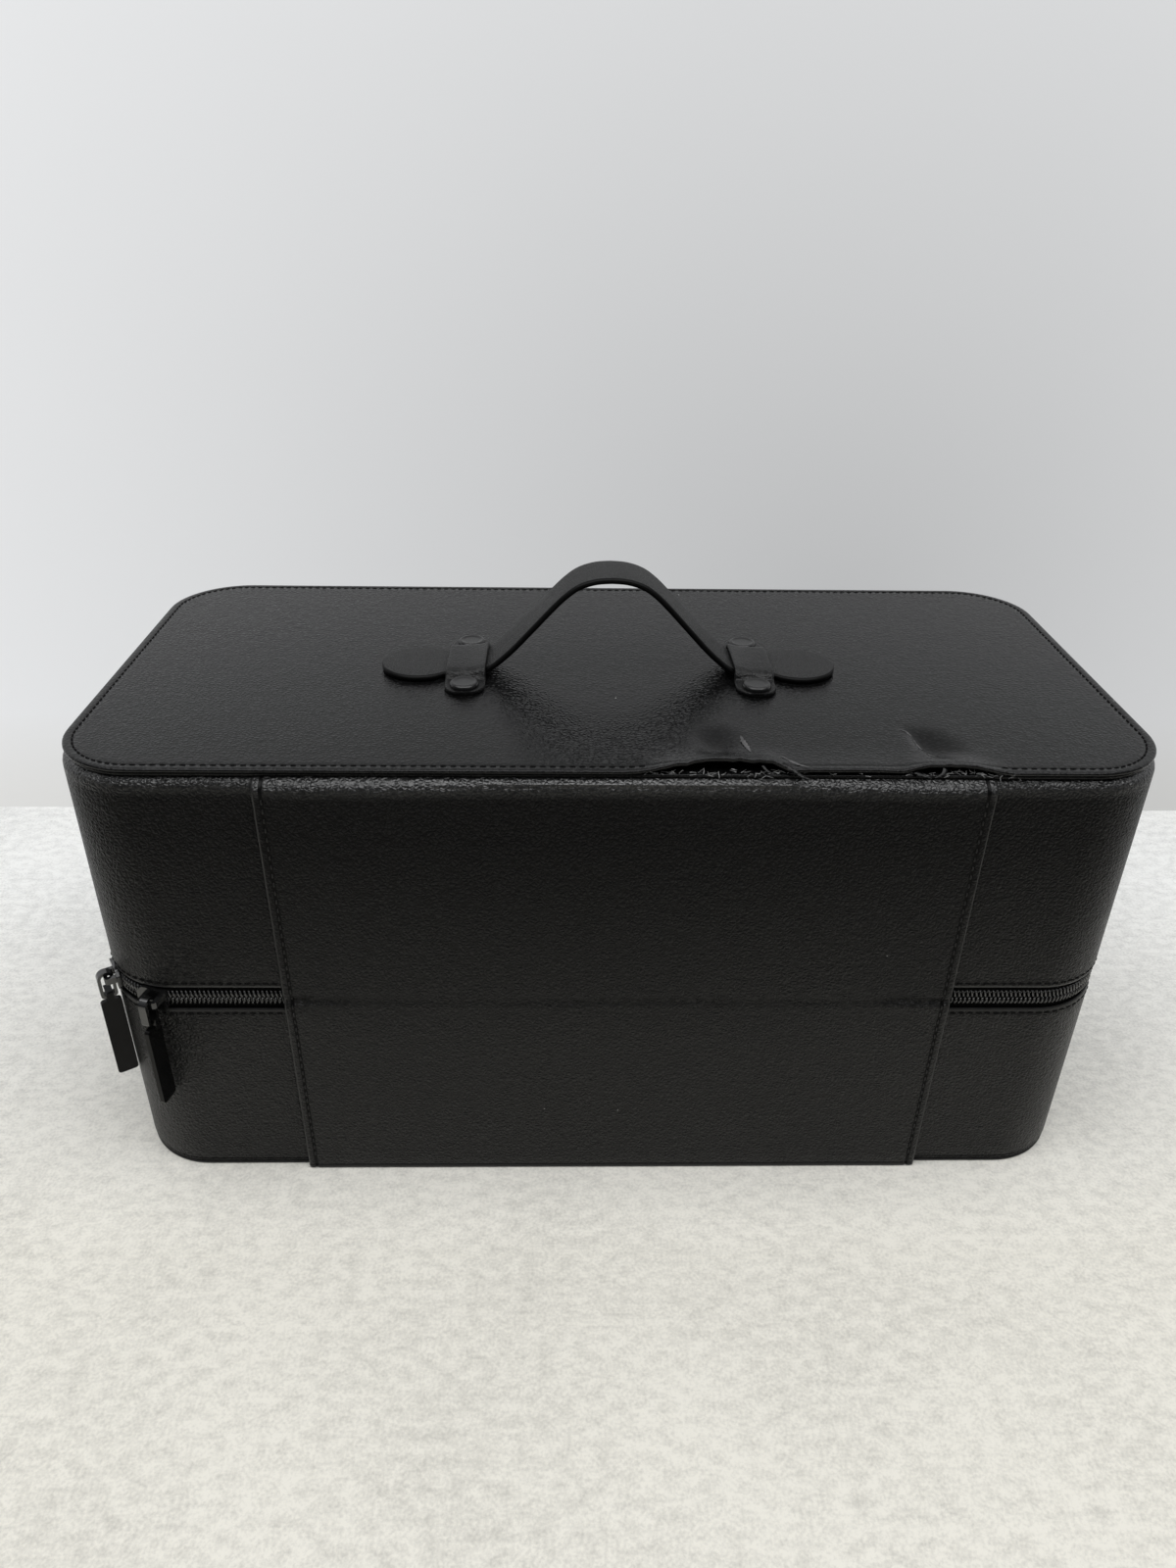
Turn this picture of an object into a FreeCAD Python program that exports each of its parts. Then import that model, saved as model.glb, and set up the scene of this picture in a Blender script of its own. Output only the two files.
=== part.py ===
import FreeCAD, Part
import math
import os

from FreeCAD import Vector

# A hard-sided makeup train case, closed, standing on its bottom panel.
# Millimetres. Origin at the centre of the resting face, +Z up, hinge side at -Y.

# Closed case
case_width = 350.0
case_depth = 162.0
base_height = 80.0
lid_height = 88.0
corner_radius = 28.0

# Wall layers, from outside to inside
cover_thickness = 1.2
wall_board_thickness = 2.6
lining_thickness = 0.8
shoulder_radius = 5.0
shoulder_flats = 3
hidden_flats = 1
flange_width = 12.0
board_setback = 1.0

# Top and bottom panels with the boards behind them
panel_thickness = 3.0
panel_edge_bevel = 0.8
end_board_thickness = 2.8
end_board_flats = 4

# Hinge panel down the middle of the rear
hinge_panel_width = 226.0
hinge_panel_offset = 3.0
hinge_panel_proud = 2.2
fold_gap = 0.8
hinge_strip_thickness = 0.6
hinge_strip_reach = 22.0

# Zip chain
zip_opening = 9.0
chain_width = 6.0
chain_groove = 1.1
coil_thickness = 1.8
coil_recess = 0.7
tape_thickness = 0.7
tape_reach = 14.0
chain_tuck = 6.0

# Zip sliders, placed by their angle round the rear left corner
slider_angles = {"right": 15.0, "left": 58.0}
slider_length = 11.0
slider_nose_width = 8.4
slider_tail_width = 7.2
slider_plate = 1.1
slider_round = 1.0
chain_clearance = 0.3
chain_side_clearance = 0.25
tape_clearance = 0.2
post_length = 2.6
post_width = 0.8
post_setback = 0.6
crown_bar_height = 1.3
crown_bar_width = 2.4
crown_leg = 1.6
crown_round = 1.4
crown_end_clearance = 0.5

# Bails and bar pulls
bail_band = 1.1
bail_inner_radius = 1.7
bail_width = 2.8
bail_length = 10.8
bail_clearance = 0.3
bail_corner = 1.4
pull_length = 33.0
pull_width = 7.0
pull_thickness = 1.6
pull_corner = 1.2
pull_head_depth = 2.4
pull_head_wall = 1.1
pull_head_play = 0.65
pull_neck = 1.0

# Handle strap
strap_width = 20.0
strap_thickness = 2.8
strap_rest_gap = 0.2
arch_rise = 34.0
arch_foot_tuck = 1.5
apex_radius = 18.0
foot_radius = 19.5
tongue_width = 27.0
tongue_reach = 23.5

# Keepers and rivets that hold the strap
handle_offset = -4.0
keeper_spacing = 101.0
keeper_width = 14.0
keeper_thickness = 1.6
keeper_head_room = 1.2
keeper_side_room = 0.6
keeper_lean = 1.0
keeper_end_margin = 1.0
rivet_cap_sides = 20
rivet_post_sides = 8
rivet_cap_radius = 5.0
rivet_cap_height = 1.6
rivet_cap_bevel = 1.2
rivet_cap_room = 0.4
rivet_post_radius = 1.5
rivet_hole_clearance = 0.1
burr_radius = 3.5
burr_thickness = 0.8

# Padded dividers in the base
divider_thickness = 8.0
divider_top_gap = 8.0
divider_round = 3.0
divider_clearance = 0.3
rear_bays = 4
front_bays = 3

# Brush board in the lid
brush_board_thickness = 4.2
brush_board_margin = 14.0
brush_board_corner = 12.0
brush_board_bevel = 1.2
elastic_length = 240.0
elastic_width = 24.0
elastic_thickness = 0.8

# How near counts as touching, and how near 1 a cosine counts as parallel
touch = 1e-4
parallel = 0.999

# Places worked out from the sizes above
half_opening = zip_opening / 2
half_chain = chain_width / 2
rear_face = -case_depth / 2
case_top = base_height + lid_height
board_inset = cover_thickness
lining_inset = board_inset + wall_board_thickness
cavity_inset = lining_inset + lining_thickness
cover_end = panel_thickness + cover_thickness
board_end = cover_end + end_board_thickness
lining_end = board_end + lining_thickness
floor_level = lining_end
arch_half_span = keeper_spacing / 2 - arch_foot_tuck
tongue_tip = keeper_spacing / 2 + keeper_width / 2 + tongue_reach
corner_centre = Vector(-case_width / 2 + corner_radius, rear_face + corner_radius, base_height)


def box(x_low, x_high, y_low, y_high, z_low, z_high):
    """A block between two corners."""
    corner = Vector(x_low, y_low, z_low)
    return Part.makeBox(x_high - x_low, y_high - y_low, z_high - z_low, corner)


def prism(points, direction):
    """A closed outline of straight runs, pushed along a direction."""
    wire = Part.makePolygon(points + points[:1])
    return Part.Face(wire).extrude(direction)


def rounded_outline(width, depth, radius, low):
    """A closed outline with round corners, centred on the Z axis."""
    x = width / 2
    y = depth / 2
    quarter = radius * (1 - math.sqrt(0.5))
    edges = []
    for sx, sy in ((1, 1), (-1, 1), (-1, -1), (1, -1)):
        first = Vector(sx * x, sy * (y - radius), low)
        last = Vector(sx * (x - radius), sy * y, low)
        middle = Vector(sx * (x - quarter), sy * (y - quarter), low)
        if sx * sy < 0:
            first, last = last, first
        edges.append(Part.Arc(first, middle, last).toShape())
    for this, following in zip(list(edges), edges[1:] + edges[:1]):
        start = this.lastVertex(True).Point
        end = following.firstVertex(True).Point
        edges.append(Part.makeLine(start, end))
    return Part.Wire(Part.__sortEdges__(edges))


def rounded_slab(width, depth, radius, low, high):
    """A plate with round plan corners, centred on the Z axis."""
    face = Part.Face(rounded_outline(width, depth, radius, low))
    return face.extrude(Vector(0, 0, high - low))


def outline(inset, low):
    """The case's own outline, drawn in by an inset."""
    width = case_width - 2 * inset
    depth = case_depth - 2 * inset
    return rounded_outline(width, depth, corner_radius - inset, low)


def slab(inset, low, high):
    """A plate of the case's own outline, drawn in by an inset."""
    return Part.Face(outline(inset, low)).extrude(Vector(0, 0, high - low))


def rolled_slab(inset, low, high, radius, flats):
    """A plate whose upper edge rolls inwards in a few flats."""
    outlines = [outline(inset, low)]
    for step in range(flats + 1):
        turn = math.radians(90 * step / flats)
        level = high - radius + radius * math.sin(turn)
        outlines.append(outline(inset + radius - radius * math.cos(turn), level))
    return Part.makeLoft(outlines, True, True)


def cut_slab(inset, low, high):
    """A plate of the case's own outline with its corners cut in a few flats."""
    radius = corner_radius - inset
    points = []
    for corner, (sx, sy) in enumerate(((1, 1), (-1, 1), (-1, -1), (1, -1))):
        centre = Vector(sx * (case_width / 2 - corner_radius), sy * (case_depth / 2 - corner_radius), low)
        for step in range(end_board_flats + 1):
            turn = math.radians(90 * (corner + step / end_board_flats))
            points.append(centre + Vector(math.cos(turn), math.sin(turn), 0) * radius)
    return prism(points, Vector(0, 0, high - low))


def ring(outer_inset, inner_inset, low, high):
    """A wall layer between two insets."""
    return slab(outer_inset, low, high).cut(slab(inner_inset, low, high))


def bevel_top(shape, size):
    """Bevel the edges that lie in the shape's top plane."""
    top = shape.BoundBox.ZMax
    edges = [edge for edge in shape.Edges if edge.BoundBox.ZMin > top - touch]
    return shape.makeChamfer(size, edges)


def round_along(shape, axis, radius):
    """Round the straight edges that run along one axis."""
    edges = []
    for edge in shape.Edges:
        span = edge.lastVertex().Point - edge.firstVertex().Point
        if len(edge.Vertexes) == 2 and abs(span.normalize().dot(axis)) > parallel:
            edges.append(edge)
    return shape.makeFillet(radius, edges)


def on_lid(shape):
    """Set a half built upwards from the zip's centre line on the lid."""
    return shape.translated(Vector(0, 0, base_height))


def on_base(shape):
    """Set a half built upwards from the zip's centre line on the base, upside down."""
    flipped = shape.mirror(Vector(0, 0, 0), Vector(0, 0, 1))
    return flipped.translated(Vector(0, 0, base_height))


def hinge_zone(shrink, low, high):
    """The rear block that the hinge panel covers, each side drawn in by a margin."""
    left = hinge_panel_offset - hinge_panel_width / 2 + shrink
    right = hinge_panel_offset + hinge_panel_width / 2 - shrink
    return box(left, right, -case_depth, 0, low, high)


def wall_cover(height):
    """Outer covering of one half, with its rolled shoulder and sewn flange."""
    top = height - panel_thickness
    outer = rolled_slab(0, half_opening, top, shoulder_radius, shoulder_flats)
    hollow_top = top - cover_thickness
    hollow_roll = shoulder_radius - cover_thickness
    hollow = rolled_slab(cover_thickness, half_opening, hollow_top, hollow_roll, hidden_flats)
    return outer.cut(hollow).cut(slab(flange_width, half_opening, top))


def wall_board(height):
    """Stiff board behind the cover, rebated outside for the zip tape."""
    low = half_opening + board_setback
    board = ring(board_inset, lining_inset, low, height - panel_thickness - shoulder_radius)
    return board.cut(ring(board_inset, board_inset + tape_thickness, low, tape_reach))


def wall_lining(height):
    """Fabric on the inside of the wall board."""
    return ring(lining_inset, cavity_inset, half_opening + board_setback, height - lining_end)


def end_panel(height):
    """Stitched top or bottom panel, which lies on the cover's flange."""
    return bevel_top(slab(0, height - panel_thickness, height), panel_edge_bevel)


def end_board(height):
    """Stiff board behind the top or bottom panel."""
    return cut_slab(shoulder_radius, height - board_end, height - cover_end)


def end_lining(height):
    """Fabric over the end board."""
    return cut_slab(lining_inset, height - lining_end, height - board_end)


def zip_tape(height):
    """Woven tape that carries one coil, sewn behind the cover's folded edge."""
    tape = ring(cover_thickness, cover_thickness + tape_thickness, half_chain, tape_reach)
    return tape.cut(hinge_zone(chain_tuck, 0, height))


def zip_coil(height):
    """One half of the chain, a plain strand along the tape's edge."""
    coil = ring(coil_recess, coil_recess + coil_thickness, chain_groove / 2, half_chain)
    return coil.cut(hinge_zone(chain_tuck, 0, height))


def hinge_leaf(height):
    """Half of the hinge panel: flat on the wall, then round the shoulder under the end panel."""
    bend = height - panel_thickness - shoulder_radius
    left = hinge_panel_offset - hinge_panel_width / 2
    right = left + hinge_panel_width
    flat = box(left, right, rear_face - hinge_panel_proud, rear_face, fold_gap / 2, bend)
    centre = Vector(left, rear_face + shoulder_radius, bend)
    along = Vector(1, 0, 0)
    roll = Part.makeCylinder(shoulder_radius + hinge_panel_proud, hinge_panel_width, centre, along)
    roll = roll.cut(Part.makeCylinder(shoulder_radius, hinge_panel_width, centre, along))
    kept = box(left, right, -case_depth, rear_face + shoulder_radius, bend, height - panel_thickness)
    return flat.fuse(roll.common(kept)).removeSplitter()


def hinge_strip():
    """Half of the fabric strip that covers the fold on the inside."""
    left = hinge_panel_offset - hinge_panel_width / 2
    inside = rear_face + cavity_inset
    y_high = inside + hinge_strip_thickness
    return box(left, left + hinge_panel_width, inside, y_high, fold_gap / 2, hinge_strip_reach)


def slider_outline(low, high):
    """Slider plate seen along the wall's normal: wide shoulders at the nose, narrow tail."""
    half = slider_length / 2
    nose = slider_nose_width / 2
    tail = slider_tail_width / 2
    shoulder = half - nose / 2
    points = [
        Vector(-half, low, -tail),
        Vector(-half / 2, low, -tail),
        Vector(shoulder / 2, low, -nose),
        Vector(shoulder, low, -nose),
        Vector(half, low, -nose / 2),
        Vector(half, low, nose / 2),
        Vector(shoulder, low, nose),
        Vector(shoulder / 2, low, nose),
        Vector(-half / 2, low, tail),
        Vector(-half, low, tail),
    ]
    plate = prism(points, Vector(0, high - low, 0))
    return round_along(plate, Vector(0, 1, 0), slider_round)


# Depths of the slider, counted outwards from the cover's face
chain_sag = slider_length**2 / 8 / (corner_radius - coil_recess - coil_thickness)
outer_plate_low = -coil_recess + chain_clearance
outer_plate_high = outer_plate_low + slider_plate
inner_plate_high = -coil_recess - coil_thickness - chain_sag - chain_clearance
inner_plate_low = inner_plate_high - slider_plate
bail_radius = bail_band + bail_inner_radius
crown_axis = outer_plate_high + bail_clearance + bail_radius
crown_top = crown_axis + crown_bar_height / 2
bail_bottom = bail_radius - bail_length
pull_axis = bail_bottom + bail_band / 2
pull_head_top = pull_axis + bail_band / 2 + pull_head_play + pull_head_wall
pull_top = pull_axis - bail_band / 2 - pull_head_play - pull_neck


def slider_body():
    """Two plates joined by the post, side flanges round the chain, and a crown for the bail."""
    half = slider_length / 2
    outer = slider_outline(outer_plate_low, outer_plate_high)
    inner = slider_outline(inner_plate_low, inner_plate_high)
    whole = slider_outline(inner_plate_low, outer_plate_high)
    flange_inside = half_chain + chain_side_clearance
    tape_out = -cover_thickness + tape_clearance
    tape_in = -cover_thickness - tape_thickness - chain_sag - tape_clearance
    wide = slider_nose_width
    sides = whole.cut(box(-half, half, inner_plate_low, outer_plate_high, -flange_inside, flange_inside))
    sides = sides.cut(box(-half, half, tape_in, tape_out, -wide, wide))
    nose = half - post_setback
    post_high = outer_plate_high
    post = box(nose - post_length, nose, inner_plate_low, post_high, -post_width / 2, post_width / 2)
    body = outer.fuse([inner, sides, post])
    return body.fuse(slider_crown()).removeSplitter()


def slider_crown():
    """Bridge along the slider, with rounded shoulders, that the bail hangs in."""
    gap = bail_width / 2 + crown_end_clearance
    reach = gap + crown_leg
    side = crown_bar_width / 2
    bridge = box(-reach, reach, outer_plate_low, crown_top, -side, side)
    corners = []
    for edge in bridge.Edges:
        ends = [vertex.Point for vertex in edge.Vertexes]
        across = abs(ends[0].x - ends[1].x) < touch
        if across and all(abs(p.y - crown_top) < touch for p in ends):
            corners.append(edge)
    bridge = bridge.makeFillet(crown_round, corners)
    under = crown_axis - crown_bar_height / 2
    return bridge.cut(box(-gap, gap, outer_plate_high, under, -side, side))


def bail_link():
    """Band bent into a loop round the crown's bar, flat at the bottom for the pull."""
    outer = bail_loop(bail_radius, bail_bottom, bail_corner)
    inner = bail_loop(bail_radius - bail_band, bail_bottom + bail_band, bail_corner - bail_band)
    return outer.cut(inner)


def bail_loop(radius, bottom, corner):
    """Filled outline of the bail, arched over the crown's axis and square below."""
    half = bail_width / 2
    arch = Part.makeCylinder(radius, bail_width, Vector(-half, crown_axis, 0), Vector(1, 0, 0))
    legs = box(-half, half, crown_axis - radius, crown_axis + radius, bottom, 0)
    low_edges = [edge for edge in legs.Edges if edge.BoundBox.ZMax < bottom + touch]
    lower = [edge for edge in low_edges if edge.BoundBox.XLength > touch]
    return arch.fuse(legs.makeFillet(corner, lower)).removeSplitter()


def bar_pull():
    """Flat bar with its broad faces along the chain, hung from the bail by a small square eye."""
    y_low = crown_axis - pull_width / 2
    y_high = crown_axis + pull_width / 2
    bottom = pull_top - pull_length
    blade = box(-pull_thickness / 2, pull_thickness / 2, y_low, y_high, bottom, pull_top)
    blade = round_along(blade, Vector(1, 0, 0), pull_corner)
    window_half = bail_width / 2 + pull_head_play / 2
    head_half = window_half + pull_head_wall
    near = crown_axis - pull_head_depth / 2
    far = crown_axis + pull_head_depth / 2
    head = box(-head_half, head_half, near, far, pull_top, pull_head_top)
    low = pull_axis - bail_band / 2 - pull_head_play
    window = box(-window_half, window_half, near, far, low, pull_head_top - pull_head_wall)
    root = box(-pull_thickness / 2, pull_thickness / 2, near, far, pull_top - pull_corner, low)
    return blade.fuse([head.cut(window), root]).removeSplitter()


def at_corner(shape, angle, nose):
    """Set a slider piece on the corner arc; the nose is +1 or -1 along the chain."""
    if nose < 0:
        shape = shape.mirror(Vector(0, 0, 0), Vector(1, 0, 0))
    turned = shape.copy()
    turned.rotate(Vector(0, 0, 0), Vector(0, 0, 1), 180 - angle)
    radians = math.radians(angle)
    out = Vector(-math.sin(radians), -math.cos(radians), 0)
    return turned.translated(corner_centre + out * corner_radius)


def handle_strap():
    """Strap bent into an arch between its keepers, with a round tongue at each end."""
    low = case_top + strap_rest_gap
    apex = Vector(0, 0, low + arch_rise - apex_radius)
    foot = Vector(arch_half_span, 0, low + foot_radius)
    reach = foot - apex
    fall = math.atan2(-reach.z, reach.x)
    slope = fall + math.asin((apex_radius + foot_radius) / reach.Length)
    under = strap_side(apex, foot, apex_radius, foot_radius, slope)
    over = strap_side(apex, foot, apex_radius + strap_thickness, foot_radius - strap_thickness, slope)
    ends = []
    for side in (1, -1):
        start = Vector(side * tongue_tip, 0, low)
        ends.append(Part.makeLine(start, start + Vector(0, 0, strap_thickness)))
    wire = Part.Wire(Part.__sortEdges__(under + over + ends))
    band = Part.Face(wire).extrude(Vector(0, tongue_width, 0))
    band = band.translated(Vector(0, -tongue_width / 2, 0))
    return band.common(strap_plan(low)).translated(Vector(0, handle_offset, 0))


def strap_side(apex, foot, top_radius, low_radius, slope):
    """One face of the strap as lines and arcs, from tongue tip to tongue tip."""
    out = Vector(math.sin(slope), 0, math.cos(slope))
    half_out = Vector(math.sin(slope / 2), 0, math.cos(slope / 2))
    crest = apex + out * top_radius
    toe = foot - out * low_radius
    toe_middle = foot - half_out * low_radius
    flat = foot - Vector(0, 0, low_radius)
    tip = Vector(tongue_tip, 0, flat.z)
    edges = []
    for side in (1, -1):
        mirror = [Vector(side * p.x, 0, p.z) for p in (tip, flat, toe_middle, toe, crest)]
        edges.append(Part.makeLine(mirror[0], mirror[1]))
        edges.append(Part.Arc(mirror[1], mirror[2], mirror[3]).toShape())
        edges.append(Part.makeLine(mirror[3], mirror[4]))
    top = apex + Vector(0, 0, top_radius)
    edges.append(Part.Arc(crest, top, Vector(-crest.x, 0, crest.z)).toShape())
    return edges


def strap_plan(low):
    """The strap's outline from above: a plain strap with a wider round tongue at each end."""
    tall = arch_rise + strap_thickness
    radius = tongue_width / 2
    middle = tongue_tip - radius
    plan = box(-middle, middle, -strap_width / 2, strap_width / 2, low, low + tall)
    for side in (1, -1):
        plan = plan.fuse(Part.makeCylinder(radius, tall, Vector(side * middle, 0, low)))
    return plan.removeSplitter()


# Keeper section, across the strap
keeper_inside = strap_width / 2 + keeper_side_room
keeper_foot = keeper_inside + keeper_lean + keeper_thickness
rivet_offset = keeper_foot + rivet_cap_room + rivet_cap_radius
keeper_half = rivet_offset + rivet_cap_radius + keeper_end_margin


def keeper(side):
    """Leather loop over the strap, with round ends for its rivets."""
    thick = keeper_thickness
    room = strap_rest_gap + strap_thickness + keeper_head_room
    outer = [(keeper_half, 0), (keeper_half, thick), (keeper_foot, thick)]
    outer.append((keeper_inside + thick, room + thick))
    inner = [(keeper_inside, room), (keeper_inside + keeper_lean, 0)]
    left = [(-y, z) for y, z in reversed(outer)]
    left_inner = [(-y, z) for y, z in reversed(inner)]
    x = side * keeper_spacing / 2 - keeper_width / 2
    points = [Vector(x, y, case_top + z) for y, z in outer + left + left_inner + inner]
    loop = prism(points, Vector(keeper_width, 0, 0))
    radius = keeper_width / 2
    middle = keeper_half - radius
    plan = box(-radius, radius, -middle, middle, 0, room + thick)
    for end in (1, -1):
        plan = plan.fuse(Part.makeCylinder(radius, room + thick, Vector(0, end * middle, 0)))
    plan = plan.translated(Vector(side * keeper_spacing / 2, 0, case_top))
    loop = loop.common(plan).translated(Vector(0, handle_offset, 0))
    return loop.cut(rivet_holes())


def rivet_places():
    """The four rivet axes, at the top panel's face."""
    places = []
    for side in (-1, 1):
        for end in (-1, 1):
            y = handle_offset + end * rivet_offset
            places.append(Vector(side * keeper_spacing / 2, y, case_top))
    return places


def pin(low_radius, high_radius, height, place, sides):
    """A small round piece drawn with flat sides, straight or tapered."""
    rings = []
    for radius, level in ((low_radius, 0), (high_radius, height)):
        points = []
        for side in range(sides):
            turn = 2 * math.pi * side / sides
            points.append(place + Vector(radius * math.cos(turn), radius * math.sin(turn), level))
        rings.append(Part.makePolygon(points + points[:1]))
    return Part.makeLoft(rings, True, True)


def rivet_holes():
    """Holes for the four rivet posts, through everything that they clamp."""
    radius = rivet_post_radius + rivet_hole_clearance
    depth = board_end + keeper_thickness
    drop = Vector(0, 0, -board_end)
    places = [place + drop for place in rivet_places()]
    return Part.Compound([pin(radius, radius, depth, place, rivet_post_sides) for place in places])


def rivets():
    """Flat-topped rivets with bevelled caps, set over a burr under the top board."""
    top = rivet_cap_radius - rivet_cap_bevel
    rivet_set = []
    for place in rivet_places():
        seat = place + Vector(0, 0, keeper_thickness)
        end = place + Vector(0, 0, -board_end)
        cap = pin(rivet_cap_radius, top, rivet_cap_height, seat, rivet_cap_sides)
        length = board_end + keeper_thickness
        post = pin(rivet_post_radius, rivet_post_radius, length, end, rivet_post_sides)
        burr = pin(burr_radius, burr_radius, burr_thickness, end, rivet_post_sides)
        rivet_set.append(cap.fuse([post, burr]).removeSplitter())
    return Part.Compound(rivet_set)


def top_board():
    """The lid's end board, holed for the posts and recessed below for their burrs."""
    board = on_lid(end_board(lid_height)).cut(rivet_holes())
    radius = burr_radius + rivet_hole_clearance
    for place in rivet_places():
        end = place + Vector(0, 0, -board_end)
        board = board.cut(pin(radius, radius, burr_thickness, end, rivet_post_sides))
    return board


def padded_board(x_low, x_high, y_low, y_high):
    """A divider standing on the base's floor, with its long upper edges rounded."""
    top = base_height - divider_top_gap
    pad = box(x_low, x_high, y_low, y_high, floor_level, top)
    edges = [edge for edge in pad.Edges if edge.BoundBox.ZMin > top - touch]
    longest = max(edge.Length for edge in edges)
    return pad.makeFillet(divider_round, [edge for edge in edges if edge.Length > longest - touch])


def long_divider():
    """Divider along the case, which parts the base into a rear and a front row."""
    reach = case_width / 2 - cavity_inset - divider_clearance
    return padded_board(-reach, reach, -divider_thickness / 2, divider_thickness / 2)


def cross_dividers(bays, side):
    """Evenly spaced dividers of one row; side is -1 for the rear row and +1 for the front one."""
    reach = case_width / 2 - cavity_inset
    near = divider_thickness / 2 + divider_clearance
    strip = hinge_strip_thickness if side < 0 else 0
    far = case_depth / 2 - cavity_inset - strip - divider_clearance
    y_low, y_high = sorted((side * near, side * far))
    dividers = []
    for bay in range(1, bays):
        x = -reach + 2 * reach * bay / bays
        dividers.append(padded_board(x - divider_thickness / 2, x + divider_thickness / 2, y_low, y_high))
    return dividers


def brush_board():
    """Padded board under the lid's lining, for brushes."""
    top = case_top - lining_end
    width = case_width - 2 * (cavity_inset + brush_board_margin)
    depth = case_depth - 2 * (cavity_inset + brush_board_margin)
    board = rounded_slab(width, depth, brush_board_corner, -brush_board_thickness, 0)
    board = board.mirror(Vector(0, 0, 0), Vector(0, 0, 1))
    board = bevel_top(board, brush_board_bevel).mirror(Vector(0, 0, 0), Vector(0, 0, 1))
    return board.translated(Vector(0, 0, top))


def brush_elastic():
    """Elastic band sewn across the brush board."""
    top = case_top - lining_end - brush_board_thickness
    x = elastic_length / 2
    y = elastic_width / 2
    return box(-x, x, -y, y, top - elastic_thickness, top)


nodes = {
    "base_bottom_panel": on_base(end_panel(base_height)),
    "base_floor_board": on_base(end_board(base_height)),
    "base_floor_lining": on_base(end_lining(base_height)),
    "base_wall_cover": on_base(wall_cover(base_height)),
    "base_wall_board": on_base(wall_board(base_height)),
    "base_wall_lining": on_base(wall_lining(base_height)),
    "base_zip_tape": on_base(zip_tape(base_height)),
    "base_zip_coil": on_base(zip_coil(base_height)),
    "base_hinge_leaf": on_base(hinge_leaf(base_height)),
    "base_hinge_strip": on_base(hinge_strip()),
    "long_divider": long_divider(),
    "lid_top_panel": on_lid(end_panel(lid_height)).cut(rivet_holes()),
    "lid_top_board": top_board(),
    "lid_top_lining": on_lid(end_lining(lid_height)),
    "lid_wall_cover": on_lid(wall_cover(lid_height)),
    "lid_wall_board": on_lid(wall_board(lid_height)),
    "lid_wall_lining": on_lid(wall_lining(lid_height)),
    "lid_zip_tape": on_lid(zip_tape(lid_height)),
    "lid_zip_coil": on_lid(zip_coil(lid_height)),
    "lid_hinge_leaf": on_lid(hinge_leaf(lid_height)),
    "lid_hinge_strip": on_lid(hinge_strip()),
    "brush_board": brush_board(),
    "brush_elastic": brush_elastic(),
    "keeper_left": keeper(-1),
    "keeper_right": keeper(1),
    "handle_rivets": rivets(),
    "handle_strap": handle_strap(),
}
for number, divider in enumerate(cross_dividers(rear_bays, -1), 1):
    nodes[f"rear_cross_divider_{number}"] = divider
for number, divider in enumerate(cross_dividers(front_bays, 1), 1):
    nodes[f"front_cross_divider_{number}"] = divider
for name, angle in slider_angles.items():
    nose = 1 if name == "right" else -1
    nodes[f"zip_slider_{name}"] = at_corner(slider_body(), angle, nose)
    nodes[f"zip_bail_{name}"] = at_corner(bail_link(), angle, nose)
    nodes[f"zip_pull_{name}"] = at_corner(bar_pull(), angle, nose)

os.makedirs("parts", exist_ok=True)
for name, shape in nodes.items():
    shape.exportStep(f"parts/{name}.step")
    bounds = shape.BoundBox
    print(name, len(shape.Solids), shape.isValid(), round(shape.Volume), "mm3,", end=" ")
    print(f"z {bounds.ZMin:.2f} to {bounds.ZMax:.2f}")
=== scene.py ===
import logging
import math
import random
from dataclasses import dataclass
from enum import Enum
from functools import reduce
from typing import Callable, Sequence

import bmesh
import bpy
from mathutils import Matrix, Vector, noise


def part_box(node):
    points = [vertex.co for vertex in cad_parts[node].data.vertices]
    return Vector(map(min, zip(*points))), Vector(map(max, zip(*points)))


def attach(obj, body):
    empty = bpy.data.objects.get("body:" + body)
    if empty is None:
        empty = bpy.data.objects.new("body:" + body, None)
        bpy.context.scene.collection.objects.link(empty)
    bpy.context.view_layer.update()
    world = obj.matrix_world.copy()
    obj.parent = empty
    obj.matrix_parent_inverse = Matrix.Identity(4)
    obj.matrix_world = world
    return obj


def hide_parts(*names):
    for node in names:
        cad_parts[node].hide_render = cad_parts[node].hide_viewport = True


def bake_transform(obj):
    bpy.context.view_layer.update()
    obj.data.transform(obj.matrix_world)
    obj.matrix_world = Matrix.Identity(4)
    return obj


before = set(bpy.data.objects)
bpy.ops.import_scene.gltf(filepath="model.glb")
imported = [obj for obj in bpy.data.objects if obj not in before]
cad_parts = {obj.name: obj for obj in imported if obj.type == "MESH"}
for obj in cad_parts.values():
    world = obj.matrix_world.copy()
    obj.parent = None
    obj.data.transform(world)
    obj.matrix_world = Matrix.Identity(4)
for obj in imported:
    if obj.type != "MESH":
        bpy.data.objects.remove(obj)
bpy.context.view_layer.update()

MM = 0.001
UP = Vector((0, 0, 1))
REARWARD = Vector((0, -1, 0))
log = logging.getLogger("train_case")

Point = tuple[float, float]
Profile = tuple[Point, ...]
Colour = tuple[float, float, float]
Ring = list[Vector]
Spot = tuple[Vector, Vector]
Socket = bpy.types.NodeSocket
Material = bpy.types.Material
CAPPED = (True, True)


class Half(Enum):
    """Which half of the case a piece belongs to."""

    BASE = "base"
    LID = "lid"


class Slot(Enum):
    """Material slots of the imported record."""

    LEATHER = "black_leather"
    LINING = "lining_fabric"
    PADDED = "padded_fabric"
    ELASTIC = "elastic"
    TAPE = "zip_tape"
    COIL = "zip_coil"
    BOARD = "stiff_board"
    METAL = "black_metal"


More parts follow.
